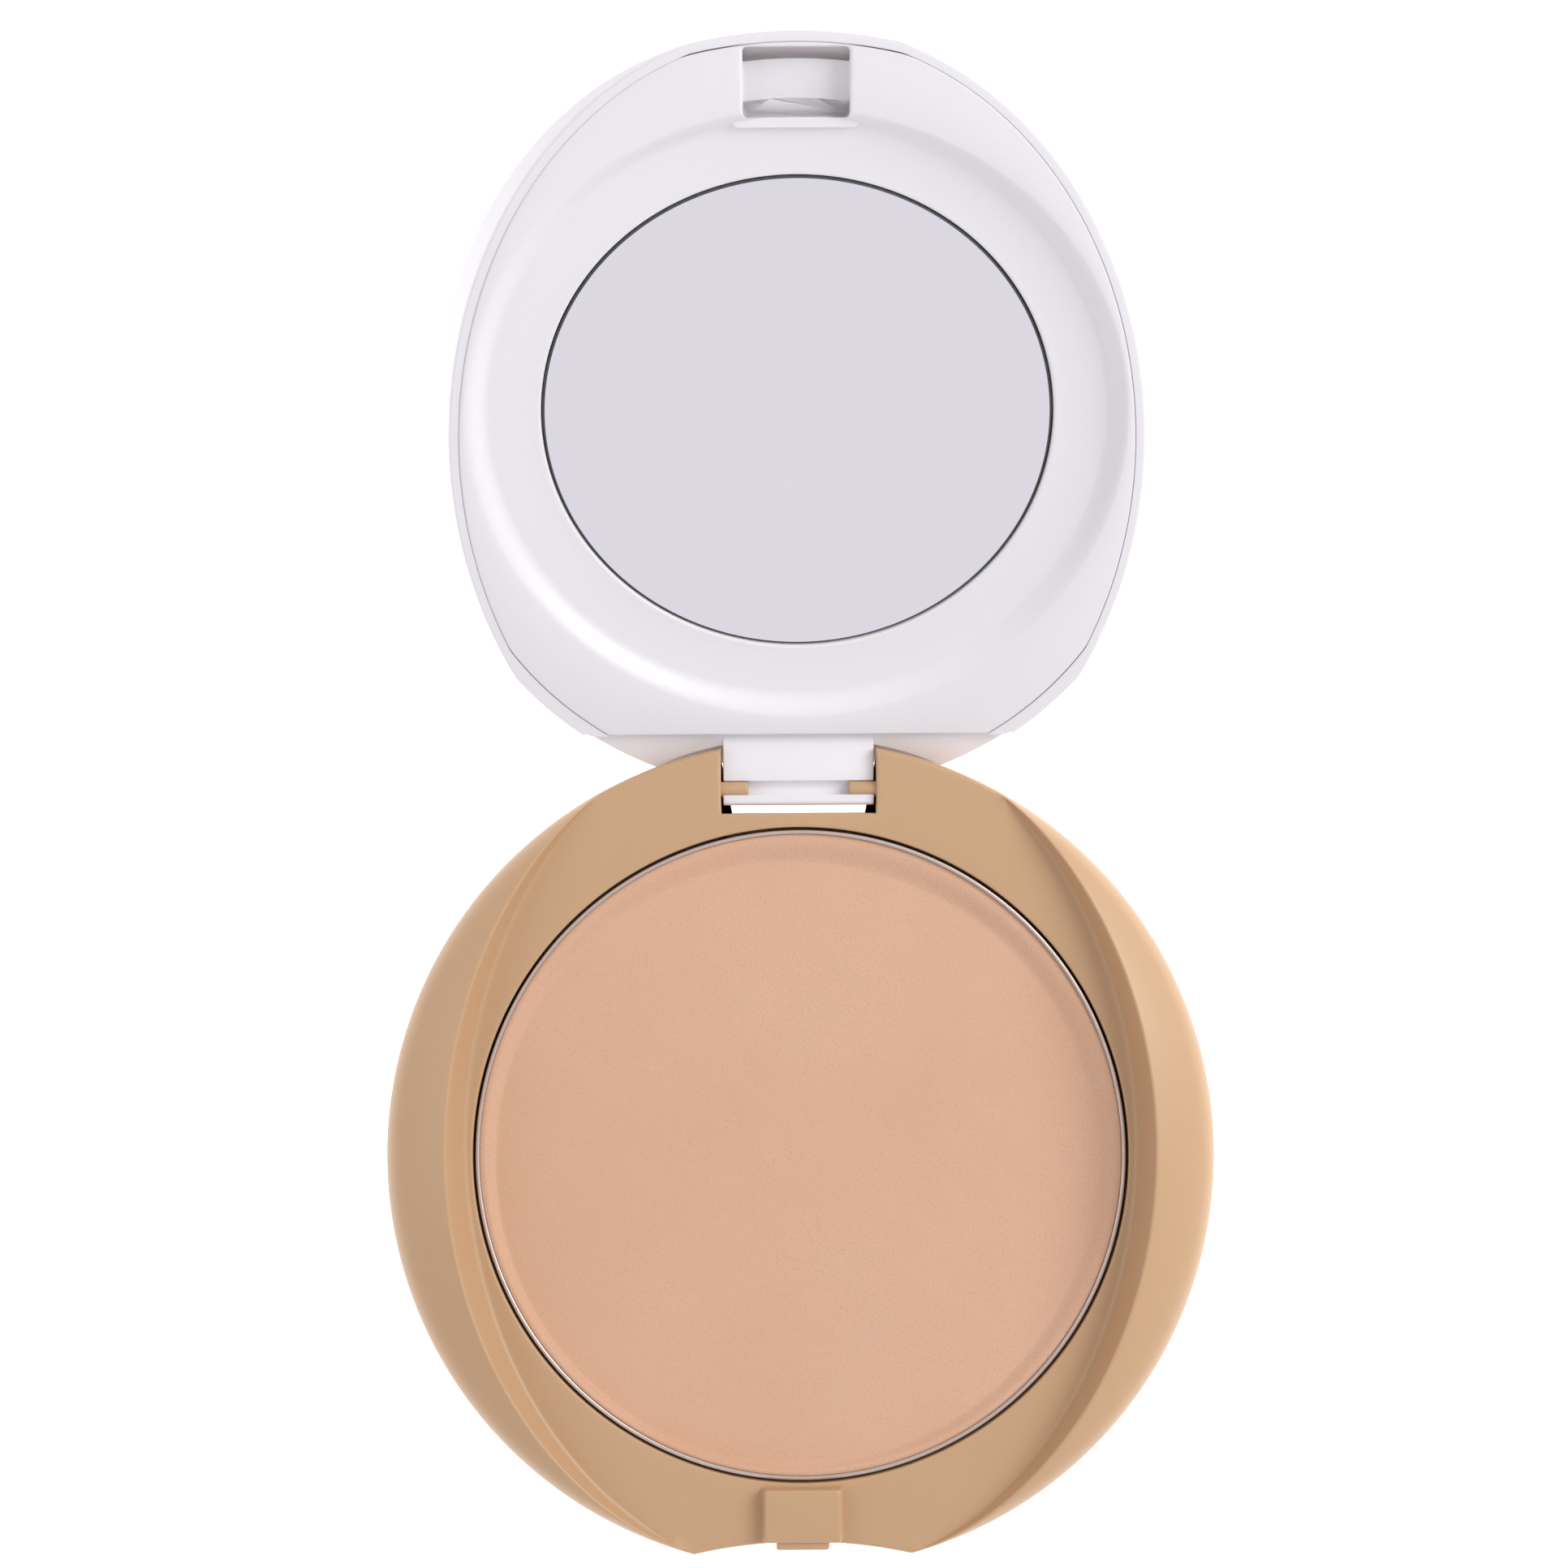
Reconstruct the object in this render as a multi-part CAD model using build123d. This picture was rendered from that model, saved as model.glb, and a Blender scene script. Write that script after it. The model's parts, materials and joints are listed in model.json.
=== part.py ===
from build123d import *
import math
import os

# Round powder compact, standing open. Millimetres; origin at the centre of the underside,
# +Z up, +Y towards the hinge, -Y towards the catch and the thumb scoop.
# The closed compact is one pebble. The lid is the part of it inside a leaning oval bay that is
# cut down to the deck, so that what is left of the base beside it is a pair of crescent wings.

# ---- Pebble and bay ----
body_radius = 37.6  # widest outline, seen from above
widest_height = 7.0  # height of the widest outline
rim_radius = 3.4  # the side is a small arc, which turns this far up and down from the widest outline
rim_turn = 53.0
shoulder_radius = 24.0  # then a shoulder arc, and last a crown arc that meets the centre line level
shoulder_turn = 76.0
deck_rise = 1.0  # of the deck round the pan, above the widest outline
bay_side_inset = 7.1  # from the widest outline in to the side of the oval, at deck height
bay_end_reach = 1.8  # the oval's half length is this much more than the body's radius
bay_offset = 1.1  # the oval's centre lies this far behind the pebble's
bay_lean = 0.3  # the bay's wall spreads by this much for each millimetre of height
bay_overcut = 1.0  # the prism that cuts the bay runs this far above the pebble

# ---- Base ----
base_wall = 1.5
seam_drop = 2.4  # of the seam between the two halves, below the widest outline
deck_thickness = 1.5
bottom_thickness = 1.4
register_width = 1.0  # the rim of the lower half that locates the upper one
register_height = 1.2
register_root = 1.0  # how far the rim runs down inside the lower half's wall
register_fit = 0.06
register_end_gap = 0.35  # between the rim's ends and the solid stretches
front_block_half_width = 13.0  # solid stretch behind the thumb scoop
rear_block_half_width = 12.0  # solid stretch that carries the hinge lugs
scoop_radius = 46.0
scoop_depth = 2.4  # how far the scoop reaches in from the rim, at deck height
scoop_tilt = 12.0
label_radius = 18.0
label_gap = 0.15  # round the label, in its recess
label_thickness = 0.12

# ---- Catch ----
catch_half_width = 3.85
catch_length = 4.8
catch_inset = 2.7  # from the widest outline in to its front face
catch_height = 1.5
catch_draft = 0.35  # the block is this much narrower at its top, on each side
catch_root = 0.2  # how far the block runs down into the deck
lip_half_width = 2.4
lip_reach = 0.7
lip_bottom = 0.45  # above the deck
lip_top = 1.1
lip_root = 0.5  # how far the lip runs back into the block
lip_rounding = 0.25
lip_clearance = 0.25
catch_clearance = 0.35

# ---- Pan and powder ----
pan_side_room = 3.358  # from the bowl's outside, level with the well's underside, in to the pan
pan_wall = 0.35
pan_depth = 4.5
pan_below_deck = 0.1
pan_gap = 0.25  # round the pan, in its well
well_wall = 1.3
well_floor_thickness = 1.0
well_clearance = 0.1  # between the well and the lower half
glue_thickness = 0.15
glue_radius = 4.0
glue_circle = 15.0
powder_below_rim = 0.35
powder_fit = 0.03
powder_land = 0.3  # flat edge of the powder round its hollow
hollow_depth = 1.0  # how far the used middle lies below the powder's edge
hollow_slope = 1.42  # the hollow's flat is this much smaller than the powder, all round
hollow_shift = (-0.4, -0.8)  # the used middle is worn off centre

# ---- Hinge ----
hinge_inset = 4.4  # from the widest outline in to the axis
hinge_below_deck = 1.2
open_angle = 150.0  # from closed to the open stop
stub_radius = 0.7
stub_length = 2.5
stub_root = 1.0  # how far each pin runs into its lug
stub_chamfer = 0.15
bore_clearance = 0.05
slot_half_width = 7.05
tongue_side_gap = 0.2
slot_reach = 2.2  # from the axis forward to the slot's wall
tongue_face = 0.15  # height of the tongue's flat face above the axis, as the lid stands open
hook_face = 0.55  # height of the hook in front of the mouth
hook_rounding = 0.4
tongue_end = 1.45  # from the axis forward to the end of the hook
tongue_root = 0.3  # how far the tongue runs up into the lid
face_clearance = 0.1  # between the tongue's face and the edge of the slot, closed

# ---- Lid ----
lid_wall = 1.4
lid_side_wall = 1.3
lid_gap = 0.35  # between the lid and the wings
tail_inset = 5.7  # the lid's rear corners turn in on an arc whose radius is this much smaller
tail_offset = 3.05  # than the widest outline, about a point this far behind the centre
lid_rest_gap = 0.15  # between the lid's rim and the deck
liner_rear = 4.85  # from the hinge axis to the straight edge of the liner
liner_fit = 0.06
liner_thickness = 1.1
tail_lift = 1.1  # the lid's underside behind the liner, above the deck
tail_cut = 0.5  # the lid beside the tongue ends this far in front of the axis
lug_clearance = 0.25  # round the path of the hinge lugs
lug_path_margin = 0.5  # the cleared path stops this far inside the base's rim
dish_inset = 10.3  # from the widest outline in to the flat floor round the mirror
dish_depth = 1.6
dish_slope = 1.4  # the dish is this much wider at the rim
dish_offset = -2.2
pocket_half_width = 4.4

# ---- Mirror ----
mirror_inset = 15.5  # from the widest outline in to the mirror
mirror_thickness = 1.1
mirror_recess = 0.15  # below the liner's floor
mirror_gap = 0.12
mirror_chamfer = 0.2
seat_thickness = 0.8
tape_inset = 3.1  # from the mirror's edge in to the tape
tape_thickness = 0.2

# ---- Worked out from the above ----
rim_reach = body_radius - rim_radius
shoulder_reach = rim_reach - (shoulder_radius - rim_radius) * math.cos(math.radians(rim_turn))
shoulder_drop = (shoulder_radius - rim_radius) * math.sin(math.radians(rim_turn))
crown_radius = shoulder_radius + shoulder_reach / math.cos(math.radians(shoulder_turn))
crown_drop = shoulder_drop + (crown_radius - shoulder_radius) * math.sin(math.radians(shoulder_turn))
closed_height = widest_height + crown_radius - crown_drop


def outline_radius(height, inset=0.0):
    """Radius of the pebble at a height, on the pebble drawn in by inset."""
    rise = abs(height - widest_height)
    if rise < (rim_radius - inset) * math.sin(math.radians(rim_turn)):
        reach, drop, radius = rim_reach, 0, rim_radius
    elif rise < (shoulder_radius - inset) * math.sin(math.radians(shoulder_turn)) - shoulder_drop:
        reach, drop, radius = shoulder_reach, shoulder_drop, shoulder_radius
    else:
        reach, drop, radius = 0, crown_drop, crown_radius
    return reach + math.sqrt((radius - inset) ** 2 - (rise + drop) ** 2)


deck_height = widest_height + deck_rise
tail_radius = body_radius - tail_inset
seam_height = widest_height - seam_drop
bay_half_width = body_radius - bay_side_inset
bay_half_length = body_radius + bay_end_reach
catch_front = body_radius - catch_inset
hinge_reach = body_radius - hinge_inset
dish_radius = body_radius - dish_inset
mirror_radius = body_radius - mirror_inset
tape_radius = mirror_radius - tape_inset
hinge_height = deck_height - hinge_below_deck
hinge_axis = Axis((0, hinge_reach, hinge_height), (1, 0, 0))
rim_height = deck_height + lid_rest_gap
floor_height = rim_height + dish_depth
mirror_face = floor_height + mirror_recess
mirror_back = mirror_face + mirror_thickness
mirror_seat = mirror_back + tape_thickness
pan_top = deck_height - pan_below_deck
pan_bottom = pan_top - pan_depth
well_floor = pan_bottom - glue_thickness
well_underside = well_floor - well_floor_thickness
pan_radius = outline_radius(well_underside - well_clearance) - pan_side_room
powder_radius = pan_radius - pan_wall - powder_fit
hollow_radius = powder_radius - hollow_slope
well_radius = pan_radius + pan_gap
well_outside = well_radius + well_wall
powder_top = pan_top - powder_below_rim
liner_edge = hinge_reach - liner_rear
bore_radius = stub_radius + bore_clearance
tongue_half_width = slot_half_width - tongue_side_gap
slot_front = hinge_reach - slot_reach
pocket_front = catch_front + catch_clearance
pocket_rear = catch_front - catch_length - catch_clearance
pocket_top = deck_height + catch_height + catch_clearance
far = 3 * body_radius  # reaches past the whole object


def slab(bottom, top):
    """Everything between two heights."""
    return Pos(0, 0, (bottom + top) / 2) * Box(2 * far, 2 * far, top - bottom)


def block(x_low, x_high, y_low, y_high, z_low, z_high):
    centre = Pos((x_low + x_high) / 2, (y_low + y_high) / 2, (z_low + z_high) / 2)
    return centre * Box(x_high - x_low, y_high - y_low, z_high - z_low)


def disc(radius, bottom, top, y=0.0):
    return Pos(0, y, (bottom + top) / 2) * Cylinder(radius, top - bottom)


def pebble(inset=0.0, bottom=0.0):
    """The closed compact's outside, drawn in by inset and cut flat at bottom."""
    outline = CenterArc((rim_reach, widest_height), rim_radius - inset, -rim_turn, 2 * rim_turn)
    for side in (1, -1):
        shoulder = (shoulder_reach, widest_height - side * shoulder_drop)
        crown = (0, widest_height - side * crown_drop)
        shoulder_sweep = side * (shoulder_turn - rim_turn)
        crown_sweep = side * (90 - shoulder_turn)
        outline += CenterArc(shoulder, shoulder_radius - inset, side * rim_turn, shoulder_sweep)
        outline += CenterArc(crown, crown_radius - inset, side * shoulder_turn, crown_sweep)
    half_height = crown_radius - crown_drop - inset
    outline += Line((0, widest_height + half_height), (0, widest_height - half_height))
    return revolve(Plane.XZ * make_face(outline), Axis.Z) & slab(bottom, far)


def bay(inset=0.0, bottom=deck_height):
    """The leaning oval prism that the lid drops into, drawn in by inset."""
    ovals = []
    for height in (bottom, closed_height + bay_overcut):
        spread = bay_lean * (height - deck_height) - inset
        oval = Ellipse(bay_half_width + spread, bay_half_length + spread)
        ovals.append(Plane((0, bay_offset, height)) * oval)
    return loft(ovals, ruled=True)


def hinge_slot():
    """Slot between the lugs, with a small relief for the tongue's face at its front edge."""
    slot = block(-slot_half_width, slot_half_width, slot_front, far, -far, far)
    face = tongue_face + face_clearance
    relief = block(-slot_half_width, slot_half_width, -far, far, -far, face)
    relief = Pos(0, hinge_reach, hinge_height) * Rot(open_angle, 0, 0) * relief
    edge = block(-slot_half_width, slot_half_width, well_radius, slot_front,
                 hinge_height, deck_height)
    return slot + (relief & edge)


def thumb_scoop():
    """Hollow in the front of the base, under the lid's edge."""
    rim = outline_radius(deck_height)
    centre = -(rim - scoop_depth) - scoop_radius / math.cos(math.radians(scoop_tilt))
    return Pos(0, centre, deck_height) * Rot(-scoop_tilt, 0, 0) * Cylinder(scoop_radius, far)


def catch():
    """Drafted block on the deck with a snap lip on its front face."""
    middle = -catch_front + catch_length / 2
    foot = Plane((0, middle, deck_height - catch_root)) * Rectangle(2 * catch_half_width, catch_length)
    head_width = 2 * (catch_half_width - catch_draft)
    head = Plane((0, middle, deck_height + catch_height)) * Rectangle(head_width, catch_length)
    lip = block(-lip_half_width, lip_half_width, -catch_front - lip_reach, lip_root - catch_front,
                deck_height + lip_bottom, deck_height + lip_top)
    nose = lip.edges().filter_by(Axis.X).group_by(Axis.Y)[0]
    return loft([foot, head], ruled=True) + fillet(nose, lip_rounding)


def hinge_stubs():
    """Two stub pins that stand inwards from the lugs."""
    stub = Cylinder(stub_radius, stub_length + stub_root)
    stub = chamfer(stub.edges().group_by(Axis.Z)[0], stub_chamfer)
    reach = slot_half_width + (stub_root - stub_length) / 2
    right = Pos(reach, hinge_reach, hinge_height) * Rot(0, 90, 0) * stub
    left = Pos(-reach, hinge_reach, hinge_height) * Rot(0, -90, 0) * stub
    return right + left


def base_top():
    """Wings, deck, pan well, catch and hinge lugs in one moulding."""
    body = (pebble() & slab(seam_height, closed_height)) - bay()
    hollow = pebble(base_wall) & slab(seam_height, closed_height)
    hollow -= bay(-base_wall, deck_height - deck_thickness)
    hollow -= disc(well_outside, 0, closed_height)
    hollow -= block(-front_block_half_width, front_block_half_width, -far, -pan_radius, 0, far)
    hollow -= block(-rear_block_half_width, rear_block_half_width, pan_radius, far, 0, far)
    body -= hollow
    body += disc(well_outside, well_underside, deck_height - deck_thickness)
    body -= disc(well_radius, well_floor, closed_height)
    body -= hinge_slot()
    body -= thumb_scoop()
    return body + catch() + hinge_stubs()


def base_bottom():
    """Lower bowl with the flat foot."""
    bowl = pebble() & slab(0, seam_height)
    hollow = pebble(base_wall, bottom_thickness) & slab(bottom_thickness, seam_height)
    slot_side = slot_half_width + base_wall
    hollow -= block(-slot_side, slot_side, well_radius, far, 0, far)
    bowl -= hollow
    bowl -= disc(well_outside + well_clearance, well_underside - well_clearance, far)
    outside = outline_radius(seam_height, base_wall) - register_fit
    ring = disc(outside, seam_height - register_root, seam_height + register_height)
    ring -= disc(outside - register_width, 0, far)
    front_side = front_block_half_width + register_end_gap
    rear_side = rear_block_half_width + register_end_gap
    ring -= block(-front_side, front_side, -far, 0, 0, far)
    ring -= block(-rear_side, rear_side, 0, far, 0, far)
    bowl += ring
    bowl -= hinge_slot()
    bowl -= thumb_scoop()
    return bowl - disc(label_radius + label_gap, 0, label_thickness)


def base_label():
    return disc(label_radius, 0, label_thickness)


def powder_pan():
    """Pressed aluminium godet."""
    pan = disc(pan_radius, pan_bottom, pan_top)
    pan = fillet(pan.edges().group_by(Axis.Z)[0], 2 * pan_wall)
    inside = disc(pan_radius - pan_wall, pan_bottom + pan_wall, pan_top)
    inside = fillet(inside.edges().group_by(Axis.Z)[0], pan_wall)
    return pan - inside


def pressed_powder():
    """Powder cake, with the worn hollow that a puff leaves."""
    cake = disc(powder_radius, pan_bottom + pan_wall, powder_top)
    cake = fillet(cake.edges().group_by(Axis.Z)[0], pan_wall + powder_fit)
    mouth = Plane((0, 0, powder_top)) * Circle(powder_radius - powder_land)
    foot = Plane((*hollow_shift, powder_top - hollow_depth)) * Circle(hollow_radius)
    return cake - loft([foot, mouth], ruled=True)


def pan_glue():
    """Three dots that hold the pan in its well."""
    dot = disc(glue_radius, well_floor, pan_bottom, y=glue_circle)
    return [dot.rotate(Axis.Z, turn) for turn in (0, 120, 240)]


def lug_path():
    """Body of revolution about the hinge axis that clears the rim of the base beside the slot."""
    rim = outline_radius(deck_height)
    end = math.sqrt(rim ** 2 - hinge_reach ** 2) - lug_path_margin
    points = []
    steps = 6
    for step in range(steps + 1):
        x = tongue_half_width + (end - tongue_half_width) * step / steps
        behind = math.sqrt(rim ** 2 - x ** 2) - hinge_reach
        points.append((x, math.hypot(behind, hinge_below_deck) + lug_clearance))
    wire = Spline(*points) + Polyline(points[-1], (end, 0), (tongue_half_width, 0), points[0])
    side = Pos(0, hinge_reach, hinge_height) * revolve(make_face(wire), Axis.X)
    return side + mirror(side, Plane.YZ)


def tongue():
    """Tab that hooks over the stub pins; drawn as the lid stands open, so its mouth faces up."""
    width = tongue_half_width
    root = block(-width, width, 0, far, -far, tongue_face)
    hook = block(-width, width, -tongue_end, 0, -far, hook_face)
    nose = hook.edges().filter_by(Axis.X).group_by(Axis.Z)[-1].sort_by(Axis.Y)[0]
    tab = root + fillet(nose, hook_rounding)
    tab -= Rot(0, 90, 0) * Cylinder(bore_radius, 2 * far)
    mouth = math.sqrt(bore_radius ** 2 - hook_face ** 2)
    tab -= block(-width, width, -mouth, bore_radius, 0, far)
    tab = Pos(0, hinge_reach, hinge_height) * Rot(open_angle, 0, 0) * tab
    top = deck_height + tail_lift + tongue_root
    return tab & block(-width, width, liner_edge, far, 0, top)


def tail_round(inset=0.0):
    """Everything in front of the lid's rear corners and inside the arc that rounds them."""
    front = block(-far, far, -far, tail_offset, -far, far)
    return front + disc(tail_radius - inset, -far, far, y=tail_offset)


def catch_pocket():
    """Room in the lid for the catch, closed."""
    width = pocket_half_width
    main = block(-width, width, -pocket_front, -pocket_rear, 0, pocket_top)
    front = pocket_front + lip_reach
    lip_room_top = deck_height + lip_top + lip_clearance
    lip_room = block(-width, width, -front, -pocket_rear, 0, lip_room_top)
    return main + lip_room


def lid_shell():
    """Domed outer lid with the hinge tongue, closed."""
    shell = pebble() & bay(lid_gap) & slab(rim_height, far) & tail_round()
    room = pebble(lid_wall) & bay(lid_gap + lid_side_wall) & tail_round(lid_side_wall)
    room &= block(-far, far, -far, liner_edge, 0, far)
    shell -= room
    shell -= block(-far, far, liner_edge, far, 0, deck_height + tail_lift)
    beside = block(tongue_half_width, far, hinge_reach - tail_cut, far, 0, far)
    shell -= beside
    shell -= mirror(beside, Plane.YZ)
    shell -= lug_path()
    shell -= catch_pocket()
    return shell + tongue()


def lid_liner():
    """Inner lid: rim, dish, mirror seat and catch pocket, closed."""
    outline = pebble(lid_wall + liner_fit) & bay(lid_gap + lid_side_wall + liner_fit)
    outline &= tail_round(lid_side_wall + liner_fit)
    outline &= block(-far, far, -far, liner_edge - liner_fit, rim_height, far)
    plate = slab(rim_height, rim_height + liner_thickness)
    cup_radius = dish_radius + dish_slope + liner_thickness
    cup = disc(cup_radius, rim_height, floor_height + liner_thickness, y=dish_offset)
    seat_radius = mirror_radius + mirror_gap
    seat = disc(seat_radius + liner_thickness, rim_height, mirror_seat + seat_thickness,
                y=dish_offset)
    width = pocket_half_width + liner_thickness
    box = block(-width, width, -far, -pocket_rear + liner_thickness, 0,
                pocket_top + liner_thickness)
    liner = outline & plate
    for member in (cup, seat, box):
        liner += outline & member
    mouth = Plane((0, dish_offset, rim_height)) * Circle(dish_radius + dish_slope)
    floor = Plane((0, dish_offset, floor_height)) * Circle(dish_radius)
    liner -= loft([mouth, floor], ruled=True)
    liner -= disc(seat_radius, rim_height, mirror_seat, y=dish_offset)
    return liner - catch_pocket()


def mirror_glass():
    glass = disc(mirror_radius, mirror_face, mirror_back, y=dish_offset)
    return chamfer(glass.edges().group_by(Axis.Z)[0], mirror_chamfer)


def mirror_tape():
    return disc(tape_radius, mirror_back, mirror_seat, y=dish_offset)


def opened(piece):
    """A piece of the lid, turned from closed to the open stop."""
    return piece.rotate(hinge_axis, -open_angle)


def solids_of(piece):
    if isinstance(piece, list):
        return [solid for member in piece for solid in member.solids()]
    return piece.solids()


nodes = {
    "base_top": base_top(),
    "base_bottom": base_bottom(),
    "base_label": base_label(),
    "powder_pan": powder_pan(),
    "pressed_powder": pressed_powder(),
    "pan_glue": pan_glue(),
    "lid_shell": opened(lid_shell()),
    "lid_liner": opened(lid_liner()),
    "mirror_glass": opened(mirror_glass()),
    "mirror_tape": opened(mirror_tape()),
}

os.makedirs("parts", exist_ok=True)
for name, piece in nodes.items():
    export_step(Compound(solids_of(piece)), f"parts/{name}.step")
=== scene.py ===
import json
import math

import bmesh
import bpy
import numpy as np
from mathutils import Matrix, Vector


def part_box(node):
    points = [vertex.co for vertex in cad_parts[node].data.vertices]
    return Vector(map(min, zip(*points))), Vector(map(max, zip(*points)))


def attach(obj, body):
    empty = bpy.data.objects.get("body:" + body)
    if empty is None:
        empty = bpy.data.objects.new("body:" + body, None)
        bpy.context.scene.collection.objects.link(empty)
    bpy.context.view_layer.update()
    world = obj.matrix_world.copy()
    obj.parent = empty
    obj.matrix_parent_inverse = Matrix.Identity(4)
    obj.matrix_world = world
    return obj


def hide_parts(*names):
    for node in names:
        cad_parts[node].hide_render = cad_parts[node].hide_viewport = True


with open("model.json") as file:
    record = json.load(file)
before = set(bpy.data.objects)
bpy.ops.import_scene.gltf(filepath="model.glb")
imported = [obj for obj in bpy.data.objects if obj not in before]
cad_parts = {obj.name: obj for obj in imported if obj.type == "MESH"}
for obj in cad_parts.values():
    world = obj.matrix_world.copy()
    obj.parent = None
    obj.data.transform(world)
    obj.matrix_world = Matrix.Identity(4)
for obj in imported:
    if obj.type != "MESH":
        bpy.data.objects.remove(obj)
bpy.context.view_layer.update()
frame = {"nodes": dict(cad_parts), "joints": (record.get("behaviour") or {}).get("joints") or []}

bl_info = {
    "name": "Powder Compact",
    "version": (1, 0, 0),
    "blender": (4, 5, 0),
    "location": "3D View > Sidebar > Compact",
    "description": "Builds the finished surfaces and materials of a round powder compact",
    "category": "Object",
}

MM = 0.001
EVEN = 1e-9  # stands for nothing where a true zero would divide by itself
MERGE = 2e-7  # metres within which two points become one
FAR = 1e3  # further out than anything here
SEARCH_STEPS = 40  # halvings of an interval
NEARLY_HALF = 0.45  # no rounding takes more than this share of the run that it cuts into
STRAIGHT_SINE = 0.05  # only columns that turn back by more than this meet the lid's rear edge

# ---- Places read from the frame, in millimetres ----
hinge = frame["joints"][0]
HINGE_Y = hinge["pos_m"][1] / MM
HINGE_Z = hinge["pos_m"][2] / MM
OPEN_ANGLE = math.radians(hinge["range_deg"][1])
WELL_BELOW_SEAM = 2.35
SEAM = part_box("base_top")[0].z / MM + WELL_BELOW_SEAM
PAN_LOW, PAN_HIGH = (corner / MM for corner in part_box("powder_pan"))
POWDER_LOW, POWDER_HIGH = (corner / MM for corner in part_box("pressed_powder"))
BODY_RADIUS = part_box("base_top")[1].x / MM

# ---- The closed compact's form ----
WIDEST = 7.0
RIM_RADIUS = 3.4
RIM_TURN = math.radians(53)
SHOULDER_RADIUS = 24.0
SHOULDER_TURN = math.radians(76)
RIM_REACH = BODY_RADIUS - RIM_RADIUS
SHOULDER_REACH = RIM_REACH - (SHOULDER_RADIUS - RIM_RADIUS) * math.cos(RIM_TURN)
SHOULDER_DROP = (SHOULDER_RADIUS - RIM_RADIUS) * math.sin(RIM_TURN)
CROWN_RADIUS = SHOULDER_RADIUS + SHOULDER_REACH / math.cos(SHOULDER_TURN)
CROWN_DROP = SHOULDER_DROP + (CROWN_RADIUS - SHOULDER_RADIUS) * math.sin(SHOULDER_TURN)
CLOSED_HEIGHT = WIDEST + CROWN_RADIUS - CROWN_DROP
DECK = WIDEST + 1.0
BAY_HALF_WIDTH = BODY_RADIUS - 7.1
BAY_HALF_LENGTH = BODY_RADIUS + 1.8
BAY_OFFSET = 1.1
BAY_LEAN = 0.3

# ---- Base ----
WELL_RADIUS = PAN_HIGH.x + 0.25
WELL_OUTSIDE = WELL_RADIUS + 1.3
WELL_FLOOR = PAN_LOW.z - 0.15
UNDER_WELL = 1.0
MOUTH_ROUNDING = 0.22
LEAST_WALL = 0.4
GROOVE_HEIGHT = 0.12
GROOVE_DEPTH = 0.15
FOOT_ROUNDING = 0.25
FOOT_SHARE = 0.985
BOWL_DIP = 2.5
LABEL_ROOM = 18.15
LABEL_DEPTH = 0.12
SLOT_HALF_WIDTH = 7.05
SLOT_FRONT = HINGE_Y - 2.2
PIN_RADIUS = 0.70
PIN_END = 4.55
SCOOP_RADIUS = 46.0
SCOOP_DEPTH = 2.4
SCOOP_TILT = math.radians(12)
CATCH_FRONT = BODY_RADIUS - 2.7
CATCH_HALF_WIDTH = 3.85
CATCH_LENGTH = 4.8
CATCH_HEIGHT = 1.5
CATCH_DRAFT = 0.35
CATCH_ROOT = 0.2
LIP_HALF_WIDTH = 2.4
LIP_HALF_LENGTH = 0.6
LIP_REACH = 0.7
LIP_BOTTOM = 0.45
LIP_TOP = 1.1

# ---- Powder ----
FOOT_RING_X = -0.42
FOOT_RING_Y = -0.80
SLOPE_WIDTH = 1.75
LAND_WIDTH = 0.28
LAND_DROP = 0.05

# ---- Lid, as it lies when closed; heights run up from the base's foot ----
LID_RIM = DECK + 0.15
DISH_RADIUS = BODY_RADIUS - 10.3
DISH_DEPTH = 1.6
DISH_OFFSET = -2.2
FLOOR = LID_RIM + DISH_DEPTH
MIRROR_FACE = FLOOR + 0.15
MIRROR_BACK = MIRROR_FACE + 1.1
MIRROR_SEAT = MIRROR_BACK + 0.2
MIRROR_RADIUS = BODY_RADIUS - 15.5
GROUND_EDGE = 0.2
LINER_EDGE = HINGE_Y - 4.85
POCKET_HALF_WIDTH = 4.4
POCKET_CLEARANCE = 0.35
LID_GAP = 0.35
SHELL_RIM = 0.80
SHELL_TAIL_RIM = 1.30
TAIL_RADIUS = BODY_RADIUS - 5.7
TAIL_OFFSET = 3.05
TAIL_UNDERSIDE = DECK + 1.1
TONGUE_HALF_WIDTH = SLOT_HALF_WIDTH - 0.2
LINER_FIT = 0.06
LIP_CLEARANCE = 0.25
LUG_CLEARANCE = 0.25
LUG_MARGIN = 0.5

# ---- Stage, in metres but for the floor's drop, in millimetres ----
MIDDLE = (0, 0.02, 0)
CAMERA_PLACE = (-0.00132, 0.03367, 0.330)
CAMERA_TURN = math.radians(-0.33)
CAMERA_LENS = 81.54
FLOOR_DROP = 0.01


# ==== Mesh tools ====

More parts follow.
